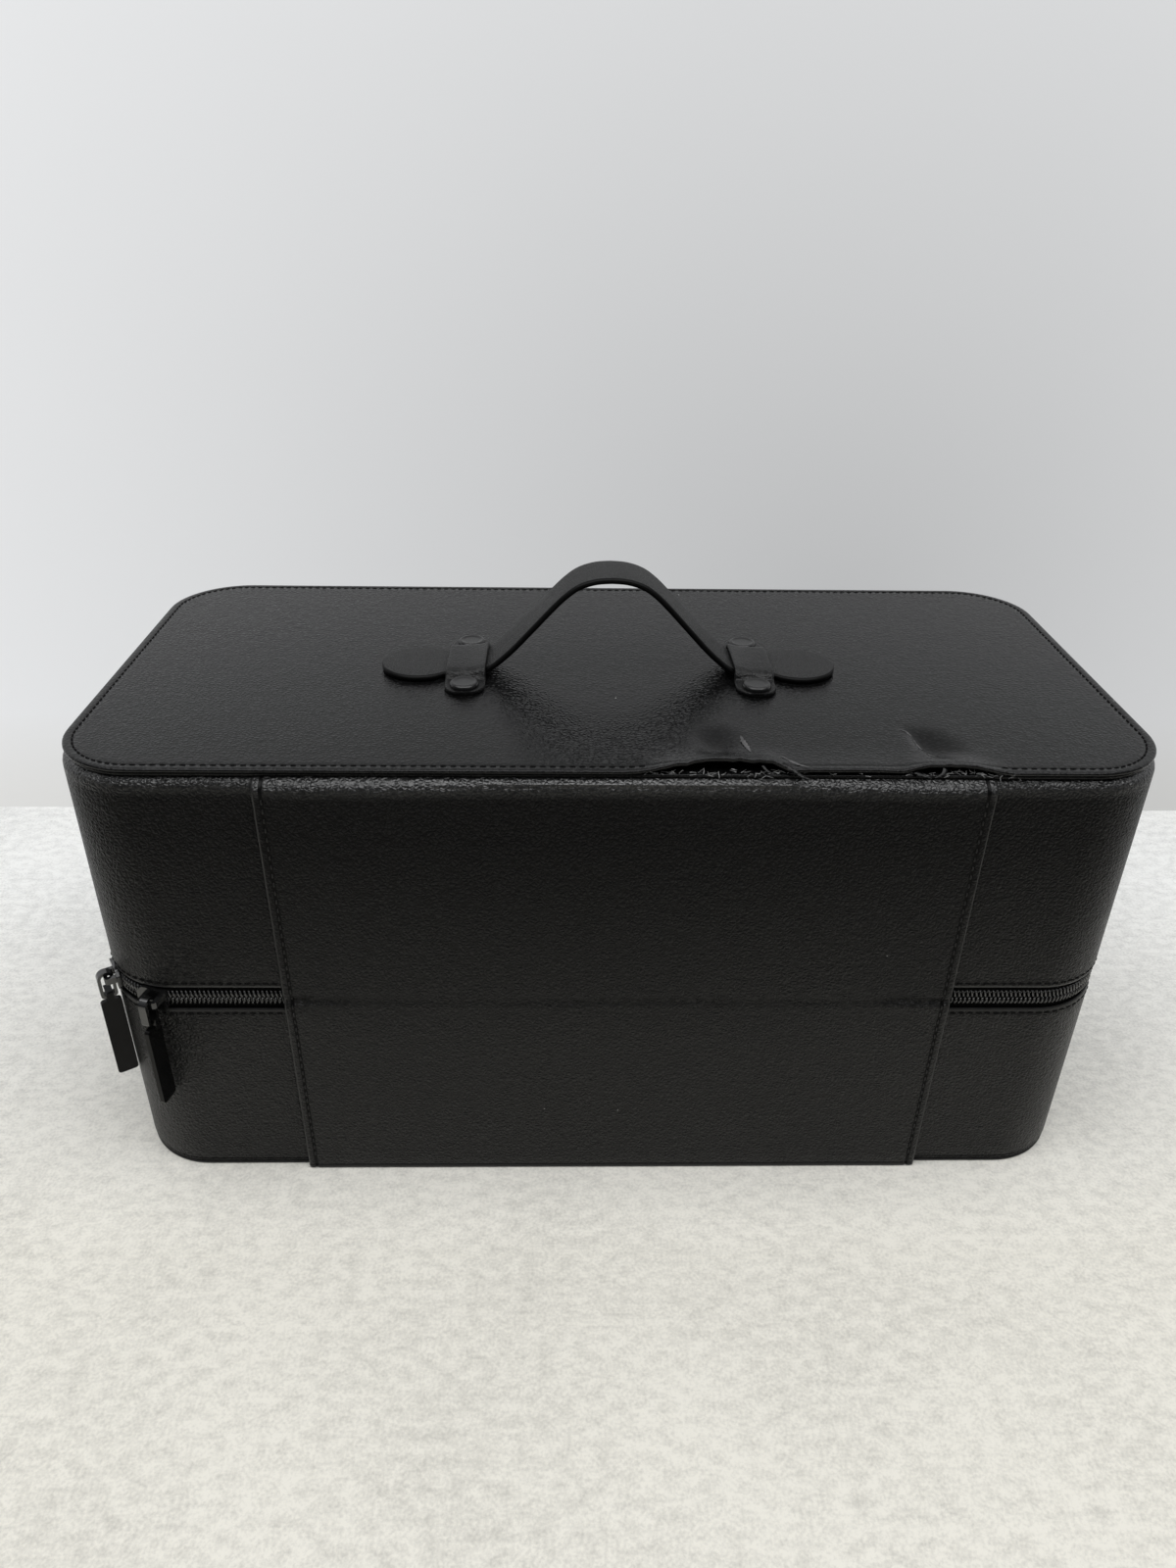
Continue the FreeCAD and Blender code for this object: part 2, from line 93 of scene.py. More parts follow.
class NodeSheet:
    """A node tree, with short calls to add nodes whose inputs are numbers or other nodes."""

    def __init__(self, owner: Material | bpy.types.World, output: str = "OutputMaterial",
                 space: str = "Object") -> None:
        """Start an empty tree.

        Args:
            owner: Material or world that holds the tree.
            output: Type of the output node.
            space: Coordinates that the patterns are read in.
        """
        self.owner = owner
        owner.use_nodes = True
        self.tree = owner.node_tree
        self.tree.nodes.clear()
        self.output = self.add(output)
        self.coords = self.add("TexCoord").outputs[space]

    def add(self, kind: str, sockets: dict | None = None, **settings: object) -> bpy.types.Node:
        """Add one node.

        Args:
            kind: Node type without its ShaderNode prefix.
            sockets: Numbers or sockets by the input's name or index.
            settings: Node properties by name.

        Returns:
            The new node.
        """
        node = self.tree.nodes.new("ShaderNode" + kind)
        for key, value in settings.items():
            setattr(node, key, value)
        for key, value in (sockets or {}).items():
            if isinstance(value, Socket):
                self.tree.links.new(value, node.inputs[key])
            else:
                node.inputs[key].default_value = value
        return node

    def axis(self, name: str) -> Socket:
        """One axis of the coordinates."""
        return self.add("SeparateXYZ", {0: self.coords}).outputs[name]

    def noise(self, size: float, detail: float = 3.0, coords: Socket | None = None) -> Socket:
        """Noise with features of a given size.

        Args:
            size: Feature size in metres.
            detail: Octaves of the noise.
            coords: Where to read the noise, if not at the sheet's own coordinates.

        Returns:
            The noise's value.
        """
        sockets = {"Scale": 1 / size, "Detail": detail, "Roughness": 0.55}
        sockets["Vector"] = coords or self.coords
        return self.add("TexNoise", sockets).outputs["Fac"]

    def cells(self, size: float, feature: str, coords: Socket) -> bpy.types.Node:
        """Cell pattern of a given size and Voronoi feature."""
        return self.add("TexVoronoi", {"Vector": coords, "Scale": 1 / size}, feature=feature)

    def math(self, operation: str, *values: object) -> Socket:
        """Work out one value from numbers or sockets."""
        return self.add("Math", dict(enumerate(values)), operation=operation).outputs[0]

    def total(self, *parts: tuple[Socket, float]) -> Socket:
        """Sum of values, each times its weight."""
        weighed = [self.math("MULTIPLY", *part) for part in parts]
        return reduce(lambda first, second: self.math("ADD", first, second), weighed)

    def spread(self, value: Socket, low: float, high: float, start: float = 0.3,
               end: float = 0.7) -> Socket:
        """Map a value to a new range, clamped.

        Args:
            value: The value.
            low: Result at start.
            high: Result at end.
            start: Lower end of the range read.
            end: Upper end of the range read.

        Returns:
            The mapped value.
        """
        sockets = {"From Min": start, "From Max": end, "To Min": low, "To Max": high}
        return self.add("MapRange", {"Value": value, **sockets}).outputs["Result"]

    def tint(self, factor: Socket, first: object, second: object) -> Socket:
        """Mix two colours.

        Args:
            factor: 0 for the first colour, 1 for the second.
            first: A colour or a socket.
            second: A colour or a socket.

        Returns:
            The mixed colour.
        """
        ends = [part if isinstance(part, Socket) else (*part, 1.0) for part in (first, second)]
        sockets = {"Factor": factor, 6: ends[0], 7: ends[1]}
        return self.add("Mix", sockets, data_type="RGBA").outputs[2]

    def scaled(self, colour: Socket, factor: Socket) -> Socket:
        """A colour times a factor."""
        return self.add("VectorMath", {0: colour, "Scale": factor}, operation="SCALE").outputs[0]

    def bump(self, height: Socket, strength: float | Socket, depth: float) -> Socket:
        """Turn a height from 0 to 1 into a normal; the depth is in metres."""
        sockets = {"Height": height, "Strength": strength, "Distance": depth}
        return self.add("Bump", sockets).outputs["Normal"]

    def close(self, shader: bpy.types.Node) -> Material | bpy.types.World:
        """Send a shader to the output and hand back the tree's owner."""
        self.tree.links.new(shader.outputs[0], self.output.inputs["Surface"])
        return self.owner

    def surface(self, **sockets: object) -> Material:
        """Close the sheet with a surface shader; its inputs have underscores for spaces."""
        values = {key.replace("_", " "): value for key, value in sockets.items()}
        return self.close(self.add("BsdfPrincipled", values))


def grey(tone: float) -> Colour:
    """An even grey."""
    return (tone, tone, tone)


@dataclass(frozen=True)
class Finish:
    """A surface finish, made into a material once."""

    name: str

    def draw(self, sheet: NodeSheet) -> Material:
        """Draw the finish's nodes on an empty sheet."""
        raise NotImplementedError

    def material(self) -> Material:
        """The finish's material."""
        known = bpy.data.materials.get(self.name)
        return known or self.draw(NodeSheet(bpy.data.materials.new(self.name)))


@dataclass(frozen=True)
class LeatherFinish(Finish):
    """Pebbled leather-look covering with dust specks, and painted shade in the low spots between
    the pebbles.
    """

    tone: float = 0.0065
    grain: float = 1.5 * MM
    relief: float = 1.0
    gloss: Point = (0.30, 0.44)
    dust: float = 0.35
    shine: float = 0.25
    wall: bool = False
    dark: Colour = (0.82, 0.83, 0.86)
    pale: Colour = (1.22, 1.23, 1.26)
    hollow_shade: float = 0.2
    speck_spacing: float = 13 * MM
    speck_reach: float = 0.019
    speck_colour: Colour = (0.30, 0.30, 0.29)
    depth: float = 0.55 * MM

    def draw(self, sheet: NodeSheet) -> Material:
        """Draw the finish's nodes.

        Args:
            sheet: Empty sheet.

        Returns:
            The finished material.
        """
        coords, tone = sheet.coords, self.tone
        sway = sheet.add("TexNoise", {"Vector": coords, "Scale": 0.6 / self.grain, "Detail": 2.0})
        bent = sheet.add("VectorMath", {0: sway.outputs["Color"], 1: grey(self.grain * 1.2),
                                        2: coords}, operation="MULTIPLY_ADD").outputs[0]
        pebbles = sheet.cells(self.grain, "DISTANCE_TO_EDGE", bent).outputs["Distance"]
        domes = sheet.spread(pebbles, 0.0, 1.0, start=0.0, end=0.34)
        fine = sheet.noise(size=0.7 * MM, detail=2.0)
        patches = sheet.noise(size=55 * MM, detail=4.0)
        creases = sheet.noise(size=3.2 * MM)
        height = sheet.total((domes, 0.5), (fine, 0.35), (creases, 0.9))
        crests = sheet.spread(sheet.total((domes, 0.5), (fine, 0.5)), 0.0, 1.0, 0.25, 0.8)
        shades = ([tone * part for part in shade] for shade in (self.dark, self.pale))
        colour = sheet.tint(sheet.spread(patches, 0.0, 1.0), *shades)
        # painted shade: the low spots between the pebbles are darkened towards a fifth of the tone
        colour = sheet.tint(crests, grey(tone * self.hollow_shade), colour)
        specks = sheet.cells(self.speck_spacing, "F1", coords)
        near = sheet.math("LESS_THAN", specks.outputs["Distance"], self.speck_reach)
        draw = sheet.add("SeparateColor", {0: specks.outputs["Color"]}).outputs[0]
        dusty = sheet.math("MULTIPLY", near, sheet.math("LESS_THAN", draw, self.dust))
        relief, shine = self.rubbed_and_painted_shine(sheet) if self.wall else (self.relief, self.shine)
        return sheet.surface(Base_Color=sheet.tint(dusty, colour, self.speck_colour),
                             Roughness=sheet.spread(sheet.total((patches, 0.6), (fine, 0.4)),
                                                    *self.gloss),
                             Normal=sheet.bump(height, relief, self.depth),
                             Specular_IOR_Level=shine)

    def rubbed_and_painted_shine(self, sheet: NodeSheet) -> tuple[Socket, Socket]:
        """Relief and shine of the walls: less shine higher up as painted shade, and extra shine
        along the lid's shoulder that is partly real polish from rubbing and partly a painted
        highlight.

        Args:
            sheet: Sheet to draw on.

        Returns:
            The relief and the shine.
        """
        level = sheet.axis("Z")
        # painted shade: the walls' shine falls with height, so their upper part reads darker
        painted_shade_by_height = sheet.spread(level, 0.25, 0.10, start=60 * MM, end=145 * MM)
        band = sheet.spread(level, 0.0, 1.0, start=158.5 * MM, end=164.4 * MM)
        # shoulder band: smoother from rubbing; its extra shine is partly polish and partly a
        # painted highlight, patchy and weaker away from the middle
        rubbed_highlight_band = sheet.math("POWER", band, 1.4)
        aside = sheet.math("ABSOLUTE", sheet.math("SUBTRACT", sheet.axis("X"), 8 * MM))
        patchy = sheet.spread(sheet.noise(size=45 * MM), 0.75, 1.0, start=0.35, end=0.65)
        fading = sheet.spread(aside, 0.9, 0.6, start=15 * MM, end=100 * MM)
        wear_and_highlight = sheet.math("MULTIPLY", patchy, fading)
        relief = sheet.math("MULTIPLY_ADD", rubbed_highlight_band, -0.25 * self.relief, self.relief)
        return relief, sheet.math("MULTIPLY_ADD", rubbed_highlight_band, wear_and_highlight, painted_shade_by_height)


@dataclass(frozen=True)
class ClothFinish(Finish):
    """Woven cloth, seen as crossing threads."""

    tone: float = 0.03
    thread: float = 0.5 * MM
    relief: float = 0.5
    fuzz: float = 0.15
    shine: float = 0.3

    def draw(self, sheet: NodeSheet) -> Material:
        """Draw the finish's nodes.

        Args:
            sheet: Empty sheet.

        Returns:
            The finished material.
        """
        sockets = {"Vector": sheet.coords, "Scale": 0.314 / self.thread, "Distortion": 0.6,
                   "Detail": 1.0}
        warp, weft, pile = (sheet.add("TexWave", sockets, bands_direction=axis).outputs["Fac"]
                            for axis in "XYZ")
        raised = sheet.math("MULTIPLY", sheet.math("ADD", warp, weft), pile)
        weave = sheet.math("ADD", raised, sheet.math("MULTIPLY", warp, weft))
        blotch = sheet.noise(size=18 * MM)
        shade = sheet.total((weave, 0.4), (blotch, 0.5))
        colour = sheet.tint(shade, grey(self.tone * 0.55), grey(self.tone * 1.5))
        return sheet.surface(Base_Color=colour, Roughness=sheet.spread(blotch, 0.72, 0.9),
                             Normal=sheet.bump(weave, self.relief, depth=0.12 * MM),
                             Sheen_Weight=self.fuzz, Sheen_Roughness=0.5,
                             Specular_IOR_Level=self.shine)


@dataclass(frozen=True)
class Mottle:
    """Clouding and fine marks of a smooth surface; without a size the marks are the clouding."""

    size: float
    detail: float = 3.0
    dark: Colour = (0.7, 0.7, 0.7)
    pale: Colour = (1.5, 1.5, 1.5)
    contrast: Point = (0.0, 1.0)
    marks: float = 0.0
    marks_detail: float = 3.0
    relief: float = 0.0
    depth: float = 0.1 * MM


@dataclass(frozen=True)
class MottledFinish(Finish):
    """Smooth surface with a mottle: paint, thread, metal, board or torn fibres."""

    mottle: Mottle
    tone: float
    gloss: Point
    shine: float = 0.5

    def draw(self, sheet: NodeSheet) -> Material:
        """Draw the finish's nodes.

        Args:
            sheet: Empty sheet.

        Returns:
            The finished material.
        """
        mottle = self.mottle
        drift = sheet.noise(mottle.size, mottle.detail)
        shades = ([self.tone * part for part in shade] for shade in (mottle.dark, mottle.pale))
        colour = sheet.tint(sheet.spread(drift, 0.0, 1.0, *mottle.contrast), *shades)
        links = {"Base_Color": colour, "Roughness": sheet.spread(drift, *self.gloss)}
        if mottle.relief:
            marks = sheet.noise(mottle.marks, mottle.marks_detail) if mottle.marks else drift
            links["Normal"] = sheet.bump(marks, mottle.relief, mottle.depth)
        return sheet.surface(Specular_IOR_Level=self.shine, **links)


PAINTED = Mottle(3 * MM, relief=0.15, depth=0.2 * MM)
SPUN = Mottle(1.5 * MM, marks=0.2 * MM, marks_detail=1.0, relief=0.1, depth=0.05 * MM)
LACQUERED = Mottle(6 * MM, pale=(1.4, 1.4, 1.45), marks=0.8 * MM, marks_detail=4.0, relief=0.05)
FLECKED = Mottle(1.2 * MM, 5.0, (0.13, 0.10, 0.075), (0.33, 0.27, 0.20), relief=0.3)
TORN = Mottle(2.2 * MM, dark=grey(0.25), pale=grey(1.3), contrast=(0.3, 0.7))

LEATHER = LeatherFinish("pebbled_leather", wall=True)
PANEL_LEATHER = LeatherFinish("top_panel_leather", tone=0.006, relief=0.26, gloss=(0.14, 0.21),
                              dust=0.55, shine=0.168)
STRAP_LEATHER = LeatherFinish("strap_leather", tone=0.013, grain=0.9 * MM, gloss=(0.46, 0.60),
                              dust=0.1, shine=0.33)
KEEPER_LEATHER = LeatherFinish("keeper_leather", tone=0.007, grain=1.1 * MM, relief=0.35,
                               gloss=(0.28, 0.40), dust=0.1, shine=0.2)
# black edge paint on the strap's edges; in the hinge panel's stitch channels the same dark paint is
# painted shade
EDGE_PAINT_AND_SHADE = MottledFinish("edge_paint_and_channel_shade", PAINTED, 0.0025, (0.32, 0.46), 0.08)
# smooth folded edges, painted lighter and shinier than the leather: a painted highlight along lips,
# rims and hinge edges
FOLD_EDGE_HIGHLIGHT = MottledFinish("folded_edge_highlight", PAINTED, 0.008, (0.32, 0.46), 0.36)
LINING = ClothFinish("lining_cloth", tone=0.032)
PADDING = ClothFinish("padded_cloth", tone=0.040, thread=0.7 * MM, fuzz=0.35)
ELASTIC = ClothFinish("elastic_webbing", tone=0.02, thread=0.9 * MM, relief=0.7)
# black tape, painted darker still as painted shade in the zip's recess
TAPE = ClothFinish("zip_tape_cloth", tone=0.0025, thread=0.6 * MM, fuzz=0.0, shine=0.04)
COIL = MottledFinish("zip_coil_nylon", SPUN, 0.022, (0.20, 0.30), 0.9)
THREAD = MottledFinish("sewing_thread", SPUN, 0.0025, (0.60, 0.75), 0.06)
WAXED_THREAD = MottledFinish("waxed_thread", SPUN, 0.002, (0.34, 0.44), 0.35)
METAL = MottledFinish("black_lacquered_metal", LACQUERED, 0.005, (0.09, 0.18), 0.9)
PULL_METAL = MottledFinish("black_pull_lacquer", LACQUERED, 0.003, (0.07, 0.14), 0.14)
CAP_METAL = MottledFinish("rivet_cap_metal", LACQUERED, 0.006, (0.17, 0.26), 0.35)
BOARD = MottledFinish("fibre_board", FLECKED, 1.0, (0.8, 0.95))
FIBRES = MottledFinish("torn_fibres", TORN, 0.24, (0.8, 0.95))
SCUFF = MottledFinish("scuffed_leather", TORN, 0.07, (0.8, 0.95))


def show(name: str, data: bpy.types.ID) -> bpy.types.Object:
    """Put an object into the scene.

    Args:
        name: Name of the object.
        data: Its mesh, lamp or camera.

    Returns:
        The new object.
    """
    made = bpy.data.objects.new(name, data)
    bpy.context.scene.collection.objects.link(made)
    return made


def paint(node: bpy.types.Object, finish: Finish) -> None:
    """Give a CAD node one finish.

    Args:
        node: The node's object.
        finish: Its finish.
    """
    if not node.material_slots:
        node.data.materials.append(finish.material())
    for slot in node.material_slots:
        slot.material = finish.material()


def spaced(start: float, end: float, count: int) -> list[float]:
    """Even steps from start to end, both included."""
    return [start + (end - start) * step / count for step in range(count + 1)]


def ease(value: float, low: float, high: float) -> float:
    """Smooth step from 0 at low to 1 at high."""
    part = min(max((value - low) / (high - low), 0.0), 1.0)
    return part * part * (3 - 2 * part)


def hump(value: float, middle: float, reach: float) -> float:
    """Smooth hump of height 1 that falls to 0 at reach from its middle."""
    part = min(abs(value - middle) / reach, 1.0)
    return (1 - part * part) ** 2


def wobble(x: float, y: float, z: float = 0.0) -> float:
    """Smooth noise from about -1 to 1 at a place."""
    return noise.noise(Vector((x, y, z)))


def directions(path: Sequence[Vector]) -> Ring:
    """Direction of a path at each of its points."""
    ends = [path[0], *path, path[-1]]
    return [(after - before).normalized() for before, after in zip(ends, ends[2:])]


def smooth_path(points: Sequence[Vector], steps: int) -> Ring:
    """A smooth line through points.

    Args:
        points: Points to pass through.
        steps: Steps between two points.

    Returns:
        Points along the line.
    """
    line: Ring = []
    ends = [points[0], *points, points[-1]]
    for before, start, end, after in zip(ends, ends[1:], ends[2:], ends[3:]):
        for step in range(steps):
            part = step / steps
            first = (-before + start * 3 - end * 3 + after) * part**3
            second = (before * 2 - start * 5 + end * 4 - after) * part**2
            third = (end - before) * part
            line.append((first + second + third + start * 2) / 2)
    return line + [points[-1]]


class Solid:
    """Vertices and faces of one piece, collected before they become a mesh."""

    def __init__(self, name: str) -> None:
        """Start an empty solid.

        Args:
            name: Name of the piece.
        """
        self.name = name
        self.vertices: Ring = []
        self.faces: list[tuple[int, ...]] = []
        self.materials: list[int] = []

    def loft(self, rings: Sequence[Ring], closed: bool = True,
             caps: tuple[bool, bool] = (False, False),
             paint: Callable[[int, int], int] = lambda row, column: 0) -> "Solid":
        """Skin a row of rings that have the same number of points.

        Args:
            rings: Rings from first to last.
            closed: Whether each ring's last point joins its first.
            caps: Whether to close the first and the last ring with a face.
            paint: Material index by row and column.

        Returns:
            This solid.
        """
        base, count, last = len(self.vertices), len(rings[0]), len(rings) - 1
        for ring in rings:
            self.vertices.extend(ring)
        for row in range(last):
            low = base + row * count
            for column in range(count if closed else count - 1):
                here, following = low + column, low + (column + 1) % count
                self.faces.append((here, following, following + count, here + count))
                self.materials.append(paint(row, column))
        first_ring = range(base, base + count)
        last_ring = range(base + last * count, base + (last + 1) * count)
        for wanted, face in zip(caps, (reversed(first_ring), last_ring)):
            if wanted:
                self.faces.append(tuple(face))
                self.materials.append(0)
        return self

    def tube(self, path: Sequence[Vector], radii: Sequence[float], sides: int, flat: float = 1.0,
             up: Vector = Vector((0.31, 0.17, 0.93))) -> None:
        """Skin a thin tube along a path.

        Args:
            path: Points along the tube.
            radii: Radius at each point.
            sides: Sides of the tube.
            flat: Height of the section over its width.
            up: Direction that the section's height takes.
        """
        rings: list[Ring] = []
        for centre, along, radius in zip(path, directions(path), radii):
            side = along.cross(up).normalized()
            rise = side.cross(along) * flat
            turns = spaced(0.0, 2 * math.pi, sides)[:-1]
            rings.append([centre + (side * math.cos(turn) + rise * math.sin(turn)) * radius
                          for turn in turns])
        self.loft(rings, caps=CAPPED)

    def move(self, shift: Callable[[Vector], Vector]) -> None:
        """Move every point by a rule."""
        self.vertices = [shift(point) for point in self.vertices]

    def mesh(self) -> bpy.types.Mesh:
        """Make the plain mesh.

        Returns:
            The mesh, with smooth faces.
        """
        mesh = bpy.data.meshes.new(self.name)
        mesh.from_pydata([tuple(point) for point in self.vertices], [], self.faces)
        mesh.polygons.foreach_set("use_smooth", [True] * len(mesh.polygons))
        return mesh

    def piece(self, finishes: Sequence[Finish], slot: Slot, body: str | tuple,
              nodes: Sequence[str] = (), angle: float = 40.0) -> bpy.types.Object:
        """Make the mesh and put it in the scene.

        Args:
            finishes: Finishes by material index.
            slot: Material slot of the record; not used.
            body: Body to ride on, or (first body, second body, start, end), for which the piece is
                only fixed in place and rides on neither.
            nodes: CAD nodes that the piece stands for.
            angle: Edges sharper than this many degrees stay sharp.

        Returns:
            The finished object.
        """
        mesh = self.mesh()
        mesh.validate()
        build = bmesh.new()
        build.from_mesh(mesh)
        bmesh.ops.recalc_face_normals(build, faces=build.faces)
        build.to_mesh(mesh)
        build.free()
        for finish in finishes:
            mesh.materials.append(finish.material())
        if len(mesh.polygons) == len(self.materials):
            mesh.polygons.foreach_set("material_index", self.materials)
        mesh.set_sharp_from_angle(angle=math.radians(angle))
        made = show(self.name, mesh)
        if isinstance(body, str):
            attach(made, body)
        else:
            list(body)
            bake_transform(made)
        if nodes:
            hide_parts(*nodes)
        log.info("piece %s: %d faces", self.name, len(mesh.polygons))
        return made


@dataclass(frozen=True)
class CaseOutline:
    """The case's rounded rectangle from above, which every wall layer follows."""

    width: float = 350 * MM
    depth: float = 162 * MM
    radius: float = 28 * MM
    least_radius: float = 0.4 * MM
    corner_steps: int = 16
    straight_step: float = 5 * MM

    def ring(self, inset: float, level: float) -> Ring:
        """One closed loop, from the rear right corner round to the right, far and left sides.

        Args:
            inset: Distance inside the outline.
            level: Height of the loop.

        Returns:
            Points of the loop; every inset gives the same count.
        """
        radius = max(self.radius - inset, self.least_radius)
        half_x = self.width / 2 - inset - radius
        half_y = self.depth / 2 - inset - radius
        corners = ((half_x, -half_y), (half_x, half_y), (-half_x, half_y), (-half_x, -half_y))
        lengths = (self.depth - 2 * self.radius, self.width - 2 * self.radius)
        arcs: list[Ring] = []
        for corner, (x, y) in enumerate(corners):
            turns = spaced(90 * (corner - 1), 90 * corner, self.corner_steps)
            arcs.append([Vector((x + radius * math.cos(turn), y + radius * math.sin(turn), level))
                         for turn in map(math.radians, turns)])
        points: Ring = []
        for corner, arc in enumerate(arcs):
            points += arc
            following = arcs[(corner + 1) % len(arcs)][0]
            count = round(lengths[corner % 2] / self.straight_step)
            points += [arc[-1].lerp(following, part) for part in spaced(0.0, 1.0, count)[1:-1]]
        return points

    def rings(self, profile: Sequence[Point]) -> list[Ring]:
        """Loops for a profile of insets and levels in metres."""
        return [self.ring(inset, level) for inset, level in profile]

    def length(self) -> float:
        """Length once round the outline."""
        straight = 2 * (self.width + self.depth - 4 * self.radius)
        return straight + 2 * math.pi * self.radius

    def at(self, run: float, inset: float, level: float) -> Spot:
        """A point on the outline and its outward normal.

        Args:
            run: Distance along the outer outline from the middle of the rear side, towards +X.
            inset: Distance inside the outline.
            level: Height.

        Returns:
            The point and the outward normal.
        """
        left = run % self.length()
        half_x = self.width / 2 - self.radius
        half_y = self.depth / 2 - self.radius
        arc = math.pi / 2 * self.radius
        spans = (half_x, arc, 2 * half_y, arc, 2 * half_x, arc, 2 * half_y, arc, half_x)
        span = 0
        while left > spans[span] and span < len(spans) - 1:
            left -= spans[span]
            span += 1
        starts = ((0.0, -half_y), (half_x, -half_y), (half_x, half_y), (-half_x, half_y),
                  (-half_x, -half_y))
        side, round_corner = divmod(span, 2)
        turn = math.radians(90 * (side - 1))
        if round_corner:
            turn += left / self.radius
            left = 0.0
        normal = Vector((math.cos(turn), math.sin(turn), 0))
        along = Vector((-normal.y, normal.x, 0))
        start = Vector((*starts[side + round_corner], level))
        return start + along * left + normal * (self.radius - inset), normal


@dataclass(frozen=True)
class Levels:
    """Heights and insets that the pieces share."""

    fold: float = 80 * MM
    top: float = 168 * MM
    panel: float = 3 * MM
    shoulder: float = 3.6 * MM
    foot_shoulder: float = 0.7 * MM
    edge_gap: float = 4.5 * MM
    hinge_left: float = -110 * MM
    hinge_right: float = 116 * MM
    chain_left: float = -104 * MM
    chain_right: float = 110 * MM
    rear: float = -81 * MM
    hinge_proud: float = 2.2 * MM

    def end(self, half: Half) -> float:
        """Height of a half's outer end face."""
        return self.top if half is Half.LID else 0.0

    def sign(self, half: Half) -> int:
        """Direction from the fold to a half's end."""
        return 1 if half is Half.LID else -1

    def bend(self, y: float, reach: float) -> tuple:
        """Base and lid, with the stretch about the fold that a piece spans between them."""
        return "base", "lid", (0.0, y, self.fold - reach), (0.0, y, self.fold + reach)


OUTLINE = CaseOutline()
LEVELS = Levels()


@dataclass(frozen=True)
class Stitching:
    """A row of stitches, each a short thread that dips into the leather at its ends."""

    pitch: float = 3.0 * MM
    length: float = 1.9 * MM
    thickness: float = 0.30 * MM
    rise: float = 0.12 * MM
    widths: Profile = ((-0.5, 0.45), (-0.38, 1.0), (0.0, 1.0), (0.38, 1.0), (0.5, 0.45))

    def sew(self, solid: Solid, place: Callable[[float], Spot], start: float, end: float,
            skip: Callable[[Vector], bool] = lambda point: False) -> None:
        """Add stitches along a line.

        Args:
            solid: Solid that takes the stitches.
            place: Point and surface normal by distance along the line.
            start: Distance of the first stitch.
            end: Distance of the last stitch.
            skip: Rule that leaves out a stitch by its place.
        """
        count = max(int((end - start) / self.pitch), 1)
        for number in range(count):
            middle = start + (number + 0.5) * (end - start) / count
            centre, up = place(middle)
            if skip(centre):
                continue
            path = []
            for part, _ in self.widths:
                point, normal = place(middle + part * self.length)
                dip = 0.5 * self.thickness * abs(2 * part) ** 6
                path.append(point + normal * (self.rise * (1 - (2 * part) ** 4) - dip))
            radii = [self.thickness * width for _, width in self.widths]
            solid.tube(path, radii, sides=6, flat=0.8, up=up)


